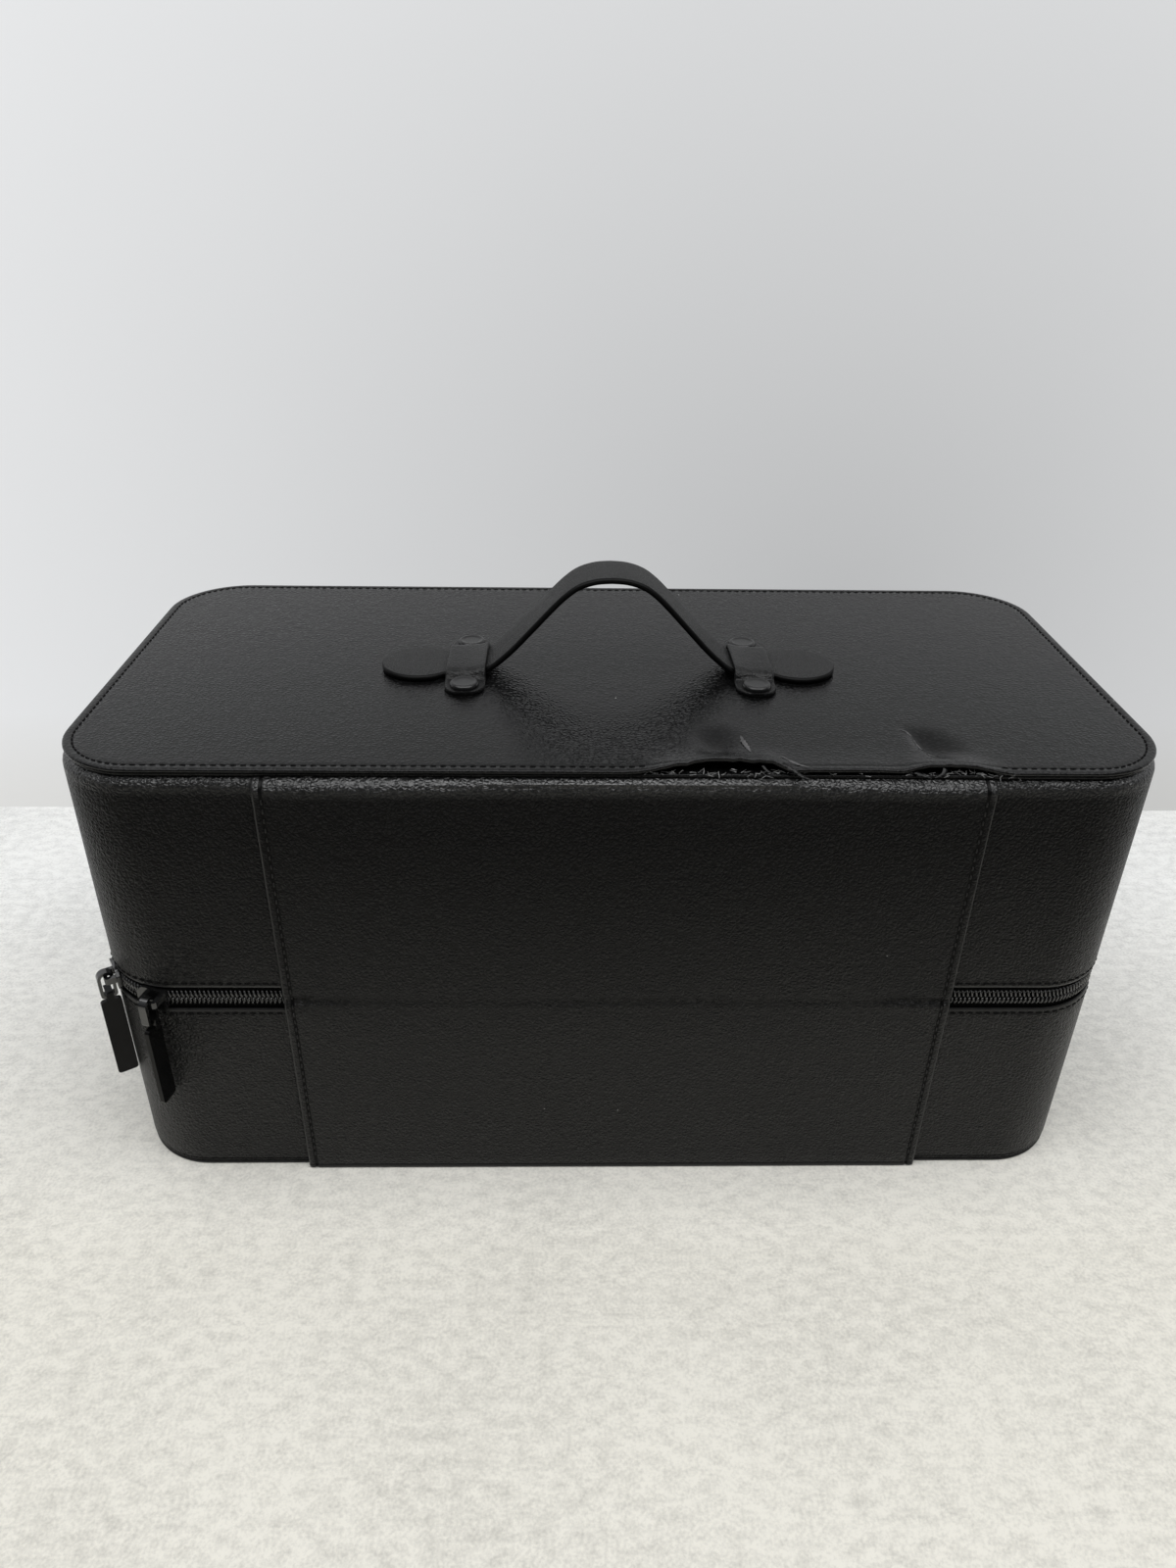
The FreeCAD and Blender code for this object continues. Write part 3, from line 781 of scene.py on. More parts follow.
@dataclass(frozen=True)
class SeamDamage:
    """The lifted and torn stretches of the top panel's rear seam; tables are in millimetres.

    Each lift has its start, full height, fading, end and height; the dent has its place, two
    reaches and its depth.
    """

    lifts: tuple[tuple[float, ...], ...] = (
        (2, 30, 43, 57, 4.0),
        (82, 97, 104, 122, 2.6),
        (40, 60, 80, 95, 0.9),
    )
    dent: tuple[float, ...] = (32, -61, 9, 12, 2.7)
    scuffs: tuple[Profile, ...] = (
        ((40.4, -56.5), (40.6, -60), (41.3, -64), (41.8, -68.5)),
        ((92.5, -51.5), (95.0, -53.0), (96.6, -58.0), (97.8, -64.5), (99.3, -71.0)),
        ((51.0, -71.0), (54.5, -75.5), (58.0, -79.0)),
    )
    shreds: tuple[tuple[tuple[float, ...], ...], ...] = (
        ((50.0, -77.5, 169.6), (53.0, -79.6, 168.6), (55.5, -81.0, 167.2), (58.5, -81.6, 166.2)),
        ((44.0, -78.6, 169.4), (45.5, -80.2, 168.3), (48.0, -80.8, 167.4)),
        ((90.5, -79.0, 167.6), (92.5, -80.6, 167.4), (95.0, -81.2, 166.7)),
        ((99.5, -79.2, 168.8), (98.5, -80.6, 167.8), (96.0, -81.3, 166.9)),
    )
    scuff_widths: tuple[float, ...] = (0.7 * MM, 0.38 * MM, 0.5 * MM)
    shred_widths: tuple[float, ...] = (0.9 * MM, 0.55 * MM, 0.6 * MM, 0.75 * MM)
    reach: float = 19 * MM
    pull_in: float = 0.55
    ripple: float = 0.35
    fold_x: float = 96.8 * MM
    fold_y: float = -62 * MM
    fold_lean: float = 0.24
    fold_drop: Point = (-1.2 * MM, 1.6 * MM)
    fold_rise: Point = (2 * MM, 15 * MM)
    fold_reach: float = 12.5 * MM
    fold_depth: float = 2.8 * MM
    skin: float = 1.4 * MM
    crest: float = 1.2 * MM
    seam_limit: float = -60 * MM
    stitch_slack: float = 0.5 * MM
    wide_lift: float = 1 * MM
    many_fibres: int = 46
    few_fibres: int = 9
    fibre_start: float = 5
    fibre_inset: Point = (1.2, 3.4)
    fibre_depth: float = 1.5 * MM
    fibre_lift: Point = (0.0, 0.45)
    fibre_heading: Profile = ((-1, 1), (-0.5, 0.25), (-0.2, 0.35))
    fibre_bend: Colour = (0.5, 0.25, 0.18)
    fibre_step: Point = (0.3, 0.8)
    fibre_width: Point = (0.05, 0.14)
    fibre_taper: tuple[float, ...] = (1, 1.2, 1, 0.8, 0.4)
    shred_up: Colour = (0.2, -0.5, 0.8)
    scuff_rise: float = 0.12 * MM
    scuff_level: float = 0.02 * MM

    def lift(self, x: float) -> float:
        """Height of the lifted edge at one place along it."""
        rows = ([size * MM for size in row] for row in self.lifts)
        return max(height * ease(x, start, full) * (1 - ease(x, fading, end))
                   for start, full, fading, end, height in rows)

    def torn(self, point: Vector) -> bool:
        """Whether the seam's stitches are gone at a place."""
        return point.y < self.seam_limit and self.lift(point.x) > self.stitch_slack

    def bend(self, point: Vector) -> Vector:
        """Where a point of the top panel lies after the damage.

        Args:
            point: The point on the sound panel.

        Returns:
            The moved point.
        """
        moved = point.copy()
        edge = max(point.y - LEVELS.rear, 0.0)
        rise = self.lift(point.x)
        if point.z > LEVELS.top - self.skin and edge < self.reach and rise > 0:
            fall = (1 - edge / self.reach) ** 2
            ripple = 1 + self.ripple * wobble(point.x * 260, 3.1)
            moved.z += rise * fall * ripple
            moved.y += self.pull_in * rise * fall
        if point.z > LEVELS.top - self.crest:
            x, y, wide, deep, depth = (size * MM for size in self.dent)
            moved.z -= depth * hump(point.x, x, wide) * hump(point.y, y, deep)
            past = point.x - self.fold_x - (self.fold_y - point.y) * self.fold_lean
            fallen = ease(past, *self.fold_drop) * (1 - ease(past, *self.fold_rise))
            moved.z -= self.fold_depth * fallen * hump(point.y, self.fold_y, self.fold_reach)
        return moved

    def fibres(self) -> None:
        """Build the loose fibres in the open seam."""
        rng = random.Random(41)
        torn = Solid("torn_seam_fibres")
        for start, _, _, finish, height in self.lifts:
            for _ in range(self.many_fibres if height * MM > self.wide_lift else self.few_fibres):
                x = rng.uniform((start + self.fibre_start) * MM, finish * MM)
                y = LEVELS.rear + rng.uniform(*self.fibre_inset) * MM
                rise = self.lift(x) * rng.uniform(*self.fibre_lift) * rng.random()
                path = [Vector((x, y, LEVELS.top - self.fibre_depth + rise))]
                step = Vector([rng.uniform(*span) for span in self.fibre_heading])
                for _ in self.fibre_taper[1:]:
                    bend = Vector([rng.uniform(-size, size) for size in self.fibre_bend])
                    step = (step + bend).normalized()
                    path.append(path[-1] + step * rng.uniform(*self.fibre_step) * MM)
                width = rng.uniform(*self.fibre_width) * MM
                torn.tube(path, [width * part for part in self.fibre_taper], sides=4)
        torn.piece([FIBRES], Slot.LEATHER, "lid")

    def flaps(self) -> None:
        """Build the shreds of leather that hang in the tear."""
        shreds = Solid("torn_seam_shreds")
        for line, width in zip(self.shreds, self.shred_widths):
            path = smooth_path([Vector(spot) * MM for spot in line], 5)
            parts = spaced(0.0, 1.0, len(path) - 1)
            radii = [width * (1 - 0.75 * part**2) for part in parts]
            shreds.tube(path, radii, sides=8, flat=0.3, up=Vector(self.shred_up))
        shreds.piece([PANEL_LEATHER], Slot.LEATHER, "lid")

    def creases(self) -> None:
        """Build the pale scuffs along the creases."""
        scuffs = Solid("crease_scuffs")
        for line, width in zip(self.scuffs, self.scuff_widths):
            level = LEVELS.top + self.scuff_level
            path = smooth_path([Vector((x * MM, y * MM, level)) for x, y in line], 6)
            path = [self.bend(point) + UP * self.scuff_rise for point in path]
            radii = []
            for place, part in enumerate(spaced(0.0, 1.0, len(path) - 1)):
                ragged = 1 + 0.8 * wobble(place * 0.9, width * 9000)
                radii.append(width * math.sin(math.pi * (0.06 + 0.88 * part)) * ragged)
            scuffs.tube(path, radii, sides=6, flat=0.12, up=UP)
        scuffs.piece([SCUFF], Slot.LEATHER, "lid")


DAMAGE = SeamDamage()


@dataclass(frozen=True)
class CaseShell:
    """Covers, end panels and their stitching for both halves; profiles are in millimetres."""

    panel_inset: float = 0.9 * MM
    foot_inset: float = 0.25 * MM
    panel_stitch_inset: float = 3.9 * MM
    panel_stitch_depth: float = 0.14 * MM
    foot_stitch_depth: float = 0.42 * MM
    core_inset: float = 0.75
    foot_core_inset: float = 0.15
    edge_stitch_offset: float = 2.0 * MM
    edge_stitch_depth: float = 0.12 * MM
    hinge_gap: float = 1 * MM
    flange_inset: float = 11 * MM
    wave: float = 0.12 * MM
    stitching: Stitching = Stitching()
    lip_profile: Profile = (
        (1.15, 2.6), (1.12, 0.9), (0.95, 0.4), (0.6, 0.08), (0.3, 0.12), (0.1, 0.45), (0.0, 1.1))
    channel_profile: Profile = ((0.02, -0.45), (0.2, 0.0), (0.02, 0.45), (-0.03, 1.1))
    panel_under: Point = (10, -2.95)
    # rows of the panel rims painted with the folded-edge finish as a painted highlight line
    rim_highlight_rows: range = range(7, 9)
    foot_rim_highlight_rows: range = range(8, 13)
    core_profile: Profile = (
        (0.85, -2.95), (0.25, -2.75), (0.0, -2.3), (0.0, -1.7), (0.25, -1.5))
    rim_profile: Profile = (
        (7.0, -1.42), (0.6, -1.3), (0.15, -1.1), (0.0, -0.7), (0.06, -0.35), (0.28, -0.1),
        (0.7, 0.0), (1.5, 0.02))
    seam_profile: Profile = (
        (-0.8, 0.0), (-0.35, -0.08), (0.0, -0.18), (0.35, -0.08), (0.9, 0.0), (2.2, 0.0))
    panel_insets: tuple[float, ...] = (
        7.5, 9, 10.5, 12, 13.5, 15, 16.5, 18, 20, 22, 24, 26.5, 29, 32, 36, 41, 50, 60, 70, 78)

    def cover(self, half: Half) -> None:
        """Build one half's wall cover, from its folded zip edge to its flange.

        Args:
            half: Which half.
        """
        sign, end = LEVELS.sign(half), LEVELS.end(half)
        edge = LEVELS.fold + sign * LEVELS.edge_gap
        row = edge + sign * self.edge_stitch_offset
        shoulder = LEVELS.shoulder if half is Half.LID else LEVELS.foot_shoulder
        roll = end - sign * (LEVELS.panel + shoulder)
        points = [(inset * MM, edge + sign * rise * MM) for inset, rise in self.lip_profile]
        points += [(inset * MM, row + sign * rise * MM) for inset, rise in self.channel_profile]
        points += [(0.0, level) for level in spaced(row, roll, 12)[1:]]
        for turn in spaced(0.0, math.pi / 2, 10)[1:]:
            inset = shoulder * (1 - math.cos(turn))
            points.append((inset, roll + sign * shoulder * math.sin(turn)))
        points.append((self.flange_inset, end - sign * LEVELS.panel))
        lip = len(self.lip_profile) - 1
        solid = Solid(f"{half.value}_cover_skin")
        # the lip rows take the folded-edge finish: a painted highlight along the zip lips
        solid.loft(OUTLINE.rings(points), paint=lambda row, column: 1 if row < lip else 0)
        solid.move(self.soften)
        nodes = [f"{half.value}_wall_cover"]
        solid.piece([LEATHER, FOLD_EDGE_HIGHLIGHT], Slot.LEATHER, half.value, nodes)
        seam = Solid(f"{half.value}_edge_stitches")
        start = LEVELS.hinge_right + self.hinge_gap
        finish = OUTLINE.length() + LEVELS.hinge_left - self.hinge_gap
        depth = self.edge_stitch_depth
        self.stitching.sew(seam, lambda run: OUTLINE.at(run, depth, row), start, finish)
        seam.piece([THREAD], Slot.LEATHER, half.value)

    def soften(self, point: Vector) -> Vector:
        """Very slight waviness of leather over board."""
        wave = self.wave * noise.noise(point * 28)
        return Vector((point.x + wave * 0.5, point.y + wave, point.z))

    def panel(self, half: Half) -> None:
        """Build one half's end panel with its stitched edge.

        Args:
            half: Which half.
        """
        lid = half is Half.LID
        sign, end = LEVELS.sign(half), LEVELS.end(half)
        rim = (self.panel_inset if lid else self.foot_inset) / MM
        core = rim + (self.core_inset if lid else self.foot_core_inset)
        seam = self.panel_stitch_inset / MM
        profile = [self.panel_under]
        for start, steps in ((core, self.core_profile), (rim, self.rim_profile),
                             (seam, self.seam_profile)):
            profile += [(start + inset, rise) for inset, rise in steps]
        profile += [(inset, 0.0) for inset in self.panel_insets]
        points = [(inset * MM, end + sign * rise * MM) for inset, rise in profile]
        rim_highlight_rows = self.rim_highlight_rows if lid else self.foot_rim_highlight_rows
        solid = Solid(f"{half.value}_panel_skin")
        # the rim rows take the folded-edge finish: a painted highlight along the panel's rim
        solid.loft(CaseOutline(straight_step=2 * MM).rings(points), caps=(False, True),
                   paint=lambda row, column: 1 if row in rim_highlight_rows else 0)
        if lid:
            solid.move(DAMAGE.bend)
        node = "lid_top_panel" if lid else "base_bottom_panel"
        finish = PANEL_LEATHER if lid else LEATHER
        solid.piece([finish, FOLD_EDGE_HIGHLIGHT], Slot.LEATHER, half.value, [node], angle=60)
        level = end - sign * (self.panel_stitch_depth if lid else self.foot_stitch_depth)

        def place(run: float) -> Spot:
            """Point and normal on the panel's seam."""
            point = OUTLINE.at(run, self.panel_stitch_inset, level)[0]
            return (DAMAGE.bend(point) if lid else point), UP * sign

        sewn = Solid(f"{half.value}_panel_stitches")
        rules = {"skip": DAMAGE.torn} if lid else {}
        self.stitching.sew(sewn, place, 0.0, OUTLINE.length(), **rules)
        sewn.piece([THREAD], Slot.LEATHER, half.value)

    def build(self) -> None:
        """Build the shell's pieces and the damage to the lid's seam."""
        for half in Half:
            self.cover(half)
            self.panel(half)
        DAMAGE.fibres()
        DAMAGE.flaps()
        DAMAGE.creases()


@dataclass(frozen=True)
class HingePanel:
    """Leather panel down the rear across the fold between the halves, and the cloth strip inside
    it.
    """

    stitch_inset: float = 3.0 * MM
    stitch_depth: float = 0.26 * MM
    stitch_ends: Point = (6 * MM, 8 * MM)
    step: float = 4.0 * MM
    fold_reach: float = 1.6 * MM
    strip_reach: float = 7 * MM
    pucker_reach: float = 24 * MM
    pucker_inset: float = 8 * MM
    pucker_depth: float = 0.7 * MM
    skin_span: Point = (81.4 * MM, 82.6 * MM)
    crease_rise: float = 0.6 * MM
    crease_reach: float = 2.4 * MM
    crease_wander: float = 0.7 * MM
    crease_depth: float = 0.32 * MM
    crease_change: float = 0.2 * MM
    ruffle: float = 0.8 * MM
    ruffle_reach: float = 9 * MM
    bow: float = 1.2 * MM
    bow_middle: float = 8 * MM
    bow_reach: float = 120 * MM
    bow_span: Point = (115 * MM, 163 * MM)
    uneven: float = 0.16 * MM
    over_tuck: float = 0.8
    over_span: Point = (0.1, 0.95)
    strip_cells: tuple[int, int] = (44, 57)
    strip_back: float = 0.05 * MM
    strip_front: float = 0.15 * MM
    strip_bow: float = 0.3 * MM
    strip_wave: float = 0.12 * MM
    start: float = 2.4
    lip_levels: tuple[float, ...] = (0.5, 0.8, 1.5, 1.9)
    lip_tucks: tuple[float, ...] = (0.82, 1.0, 1.0, 0.86)
    fold_levels: tuple[float, ...] = (-6, -4, -2.6, -1.6, -1.0, -0.5, 0, 0.5, 1.0, 1.6, 2.6, 4, 6)
    stitching: Stitching = Stitching(3.3 * MM, 1.6 * MM, 0.30 * MM, 0.22 * MM)

    def track(self) -> list[Spot]:
        """Wall-side line of the panel from its lower lip to over the lid.

        Returns:
            Points of the line with their outward normals.
        """
        shoulder = LEVELS.shoulder
        low, high = self.start * MM, LEVELS.top - LEVELS.panel - shoulder
        fine = [LEVELS.fold + rise * MM for rise in self.fold_levels]
        levels = [level * MM for level in self.lip_levels]
        levels += spaced(low, fine[0], round((fine[0] - low) / self.step))[:-1] + fine
        levels += spaced(fine[-1], high, round((high - fine[-1]) / self.step))[1:]
        line = [(Vector((0, LEVELS.rear, level)), REARWARD) for level in levels]
        centre = Vector((0, LEVELS.rear + shoulder, high))
        for turn in spaced(0.0, math.pi / 2, 8)[1:]:
            normal = Vector((0, -math.cos(turn), math.sin(turn)))
            line.append((centre + normal * shoulder, normal))
        return line

    def section(self) -> list[Point]:
        """Section across the panel.

        Returns:
            Distances along X and heights off the wall.
        """
        width = LEVELS.hinge_right - LEVELS.hinge_left
        proud, seam = LEVELS.hinge_proud / MM, self.stitch_inset / MM
        edge = [(0.25, 0.0), (0.0, 0.5), (0.0, 1.3), (0.25, 1.85), (0.8, proud - 0.05),
                (1.6, proud), (seam - 0.6, proud - 0.02), (seam - 0.3, proud - 0.34),
                (seam + 0.3, proud - 0.34), (seam + 0.6, proud - 0.02), (seam + 1.2, proud)]
        edge = [(x * MM, rise * MM) for x, rise in edge]
        inner = edge[-1][0]
        count = round((width - 2 * inner) / self.step)
        across = [(x, LEVELS.hinge_proud) for x in spaced(inner, width - inner, count)[1:-1]]
        return edge + across + [(width - x, rise) for x, rise in reversed(edge)]

    def shape(self, point: Vector) -> Vector:
        """Fold crease, puckers at its ends, and the inward bow under the top edge.

        Args:
            point: A point on the plain panel.

        Returns:
            The moved point.
        """
        x, z = point.x, point.z
        rise = z - LEVELS.fold
        wander = self.crease_wander * wobble(x * 22, 0.4)
        crease = hump(rise, wander + self.crease_rise, self.crease_reach)
        depth = self.crease_depth + self.crease_change * wobble(x * 40, 7.7)
        left, right = LEVELS.hinge_left + self.pucker_inset, LEVELS.hinge_right - self.pucker_inset
        ends = hump(x, left, self.pucker_reach) + hump(x, right, self.pucker_reach)
        inward = (depth + self.pucker_depth * ends) * crease
        swell = 0.4 + wobble(x * 120, 1.3, z * 260)
        inward -= self.ruffle * ends * hump(rise, 0.0, self.ruffle_reach) * swell
        inward += self.bow * hump(x, self.bow_middle, self.bow_reach) * ease(z, *self.bow_span)
        inward += self.uneven * wobble(x * 18, 2.2, z * 18)
        return point - REARWARD * ease(-point.y, *self.skin_span) * inward

    def skin(self) -> None:
        """Build the folded panel."""
        section = self.section()
        tucks = self.lip_tucks
        rings = []
        for number, (point, normal) in enumerate(self.track()):
            tucked = 1 - self.over_tuck * ease(normal.z, *self.over_span)
            tuck = tucks[number] if number < len(tucks) else tucked
            rings.append([Vector((LEVELS.hinge_left + x, point.y, point.z))
                          + normal * (rise * tuck) for x, rise in section])

        def edges(row: int, column: int) -> int:
            """Lighter, shinier folded-edge finish on the folded edges as a painted highlight, and
            dark paint in the stitch channels as painted shade.
            """
            place = min(column, len(section) - 2 - column)
            return 2 if place in (6, 7, 8) else 1 if place < 4 or row < 3 else 0

        solid = Solid("hinge_panel_skin").loft(rings, caps=CAPPED, paint=edges)
        solid.move(self.shape)
        nodes = ["base_hinge_leaf", "lid_hinge_leaf"]
        finishes = [LEATHER, FOLD_EDGE_HIGHLIGHT, EDGE_PAINT_AND_SHADE]
        bend = LEVELS.bend(LEVELS.rear, self.fold_reach)
        solid.piece(finishes, Slot.LEATHER, bend, nodes, angle=50)

    def seams(self) -> None:
        """Build the stitches along the panel's two sides."""
        sewn = Solid("hinge_panel_stitches")
        face = LEVELS.rear - LEVELS.hinge_proud + self.stitch_depth
        low, high = self.stitch_ends
        for x in (LEVELS.hinge_left + self.stitch_inset, LEVELS.hinge_right - self.stitch_inset):

            def place(run: float, x: float = x) -> Spot:
                """Point and normal on one side seam."""
                return self.shape(Vector((x, face, run))), REARWARD

            self.stitching.sew(sewn, place, low, LEVELS.top - high)
        sewn.piece([WAXED_THREAD], Slot.LEATHER, LEVELS.bend(LEVELS.rear, self.fold_reach))

    def strip(self) -> None:
        """Build the cloth strip that covers the fold inside."""
        low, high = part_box("base_hinge_strip")[0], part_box("lid_hinge_strip")[1]
        tall, wide = self.strip_cells
        columns = spaced(low[0], high[0], wide)
        rows: list[Ring] = []
        for level in spaced(low[2], high[2], tall):
            bow = self.strip_bow * hump(level, LEVELS.fold, self.ruffle_reach)
            front = high[1] - self.strip_front + bow
            row = [Vector((x, front + self.strip_wave * wobble(x * 60, 0.5, level * 90), level))
                   for x in columns]
            row += [Vector((x, low[1] + self.strip_back, level)) for x in reversed(columns)]
            rows.append(row)
        solid = Solid("hinge_strip_cloth").loft(rows, caps=CAPPED)
        bend = LEVELS.bend(low[1], self.strip_reach)
        nodes = ["base_hinge_strip", "lid_hinge_strip"]
        cloth = solid.piece([LINING], Slot.LINING, bend, nodes)

    def build(self) -> None:
        """Build the panel, its stitches and the inner strip."""
        self.skin()
        self.seams()
        self.strip()


@dataclass(frozen=True)
class ZipChain:
    """Tapes and coils of the zip; the tape's section is in millimetres."""

    tape_step: float = 2.5 * MM
    tape_section: Profile = (
        (1.22, 2.4), (1.22, 7.0), (1.22, 13.8), (1.88, 13.8), (1.88, 7.0), (1.88, 2.4))
    pitch: float = 1.5 * MM
    wire: float = 0.42 * MM
    turn_points: int = 8
    wire_sides: int = 5
    loop_middle: float = 1.4 * MM
    loop_reach: float = 1.3 * MM
    depth_middle: float = 1.1 * MM
    depth_reach: float = 0.55 * MM

    def strand(self, half: Half, start: float, end: float) -> None:
        """Build one half's coil as a strand whose loops reach between the other half's.

        Args:
            half: Which half.
            start: Where the chain starts on the outline.
            end: Where it ends.
        """
        start += 0.0 if half is Half.LID else 0.5 * self.pitch
        turns = int((end - LEVELS.chain_right) / self.pitch)
        path = []
        for step in range(turns * self.turn_points + 1):
            turn = step / self.turn_points
            angle = 2 * math.pi * turn
            rise = self.loop_middle + self.loop_reach * math.cos(angle)
            inset = self.depth_middle - self.depth_reach * math.sin(angle)
            level = LEVELS.fold + LEVELS.sign(half) * rise
            path.append(OUTLINE.at(start + turn * self.pitch, inset, level)[0])
        solid = Solid(f"{half.value}_coil_strand")
        solid.tube(path, [self.wire] * len(path), self.wire_sides)
        solid.piece([COIL], Slot.COIL, half.value, [f"{half.value}_zip_coil"], angle=80)

    def tape(self, half: Half, start: float, end: float) -> None:
        """Build one half's woven tape.

        Args:
            half: Which half.
            start: Where the chain starts on the outline.
            end: Where it ends.
        """
        section = [(inset * MM, LEVELS.fold + LEVELS.sign(half) * rise * MM)
                   for inset, rise in self.tape_section]
        runs = spaced(start, end, round((end - start) / self.tape_step))
        rings = [[OUTLINE.at(run, *spot)[0] for spot in section] for run in runs]
        solid = Solid(f"{half.value}_tape_cloth").loft(rings, caps=CAPPED)
        solid.piece([TAPE], Slot.TAPE, half.value, [f"{half.value}_zip_tape"])

    def build(self) -> None:
        """Build the chain's pieces."""
        ends = LEVELS.chain_right, OUTLINE.length() + LEVELS.chain_left
        for half in Half:
            self.tape(half, *ends)
            self.strand(half, *ends)


@dataclass(frozen=True)
class ZipSliders:
    """The two sliders with their bails and bar pulls, which keep their CAD shapes."""

    bevel: float = 0.22 * MM
    pull_bevel: float = 0.35 * MM
    segments: int = 3
    sharp: float = math.radians(40)

    def dress(self, name: str, width: float, finish: Finish) -> None:
        """Round a CAD piece's edges and give it its metal.

        Args:
            name: CAD node.
            width: Width of the rounded edges.
            finish: Its metal.
        """
        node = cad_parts[name]
        bevel = node.modifiers.new("rounded_edges", "BEVEL")
        bevel.width = width
        bevel.segments = self.segments
        bevel.limit_method = "ANGLE"
        bevel.angle_limit = self.sharp
        bevel.harden_normals = True
        paint(node, finish)
        log.info("piece %s: rounded", name)

    def build(self) -> None:
        """Dress every slider piece."""
        for side in ("left", "right"):
            self.dress(f"zip_slider_{side}", self.bevel, METAL)
            self.dress(f"zip_bail_{side}", self.bevel, METAL)
            self.dress(f"zip_pull_{side}", self.pull_bevel, PULL_METAL)


@dataclass(frozen=True)
class StrapHandle:
    """Arched strap with its keepers and rivet caps; profiles are in millimetres."""

    centre_y: float = -4 * MM
    half_width: float = 10 * MM
    thickness: float = 2.1 * MM
    edge: float = 1.1 * MM
    crown: float = 0.06 * MM
    least_width: float = 0.05 * MM
    arch_rise: float = 0.7 * MM
    arch_ends: Point = (35 * MM, 50 * MM)
    underside: Profile = (
        (0, 202.2), (5, 201.8), (10, 200.2), (14, 197.4), (18.5, 193.0), (26.5, 184.2), (32, 178.2),
        (36.5, 173.9), (41, 170.6), (45, 168.9), (49, 168.3), (53, 168.2))
    lead: float = 4.8 * MM
    tongue_middle: float = 67.5 * MM
    tongue_radius: float = 13.5 * MM
    tongue_turn: float = math.radians(87)
    keeper_x: float = 50.5 * MM
    keeper_radius: float = 7 * MM
    keeper_half: float = 24.6 * MM
    keeper_thickness: float = 1.6 * MM
    keeper_edge: float = 0.5 * MM
    keeper_tip: float = 0.6 * MM
    keeper_lean: float = 1.5 * MM
    keeper_profile: Profile = (
        (24.6, 0.0), (21, 0.0), (17, 0.0), (14.4, 0.08), (13.1, 0.6), (12.2, 1.5), (11.3, 2.25),
        (9.8, 2.6), (7, 2.7), (3.5, 2.75), (0, 2.75))
    lean_start: float = 2 * MM
    lean_reach: float = 9 * MM
    crease_depth: float = 0.42 * MM
    crease_y: float = 12.4 * MM
    crease_reach: float = 3.4 * MM
    rivet_y: float = 18.6 * MM
    rivet_sides: int = 40
    rivet_profile: Profile = (
        (0.02, 1.15), (2.6, 1.15), (3.3, 1.2), (3.7, 1.42), (4.1, 1.5), (4.5, 1.38), (4.85, 1.0),
        (5.0, 0.5), (5.0, 0.05), (4.6, 0.0), (1.5, 0.0), (1.5, -8.5))

    def strap_line(self) -> list[tuple[Vector, float]]:
        """Underside of the strap from tip to tip.

        Returns:
            Points of the line with the half width at each.
        """
        points = [Vector((x * MM, 0, z * MM)) for x, z in self.underside]
        end = points[-1]
        line = [(point, self.half_width) for point in smooth_path(points, 4)]
        line += [(Vector((x, 0, end.z)), self.half_width)
                 for x in spaced(end.x, end.x + self.lead, 4)[1:]]
        start = -math.acos(self.half_width / self.tongue_radius)
        for turn in spaced(start, self.tongue_turn, 24):
            x = self.tongue_middle + self.tongue_radius * math.sin(turn)
            line.append((Vector((x, 0, end.z)), self.tongue_radius * math.cos(turn)))
        other = [(Vector((-point.x, 0, point.z)), width) for point, width in reversed(line[1:])]
        return other + line

    def strap(self) -> None:
        """Build the strap, with rounded painted edges."""
        line = self.strap_line()
        thick = self.thickness / 2
        section = [(self.edge * math.cos(turn), thick * math.sin(turn))
                   for turn in spaced(-math.pi / 2, math.pi / 2, 6)]
        count = len(section)
        rings = []
        for (point, width), along in zip(line, directions([point for point, _ in line])):
            up = Vector((-along.z, 0, along.x))
            bowed = self.arch_rise * (1 - ease(abs(point.x), *self.arch_ends))
            middle = point + up * (thick + bowed) + Vector((0, self.centre_y, 0))
            flat = max(width - self.edge, self.least_width)
            ring = [(flat + x, rise) for x, rise in section]
            ring += [(flat * part, thick + self.crown) for part in (0.5, 0.0, -0.5)]
            ring += [(-flat - x, rise) for x, rise in reversed(section)]
            ring += [(flat * part, -thick) for part in (-0.5, 0.0, 0.5)]
            rings.append([middle + Vector((0, y, 0)) + up * rise for y, rise in ring])

        def edges(row: int, column: int) -> int:
            """Edge paint on the section's two ends."""
            return 1 if column < count - 1 or count + 3 <= column < 2 * count + 2 else 0

        solid = Solid("strap_skin").loft(rings, caps=CAPPED, paint=edges)
        apex = self.underside[0][1] * MM
        bend = ("lid", "handle", (0.0, 0.0, LEVELS.top), (0.0, 0.0, apex))
        finishes = [STRAP_LEATHER, EDGE_PAINT_AND_SHADE]
        solid.piece(finishes, Slot.LEATHER, bend, ["handle_strap"], angle=60)

    def keeper_ring(self, width: float) -> list[Point]:
        """Section across a keeper.

        Args:
            width: Half its width.

        Returns:
            Distances from its middle and heights off the middle of its thickness.
        """
        thick, edge = self.keeper_thickness / 2, self.keeper_edge
        flat = width - edge
        right, left = ([math.radians(turn) for turn in range(start, start + 181, 45)]
                       for start in (-90, 90))
        ring = [(flat + edge * math.cos(turn), thick * math.sin(turn)) for turn in right]
        ring += [(width * (0.84 - 0.12 * step), thick) for step in range(15)]
        ring += [(edge * math.cos(turn) - flat, thick * math.sin(turn)) for turn in left]
        return ring + [(width * part, -thick) for part in (-0.6, 0.0, 0.6)]

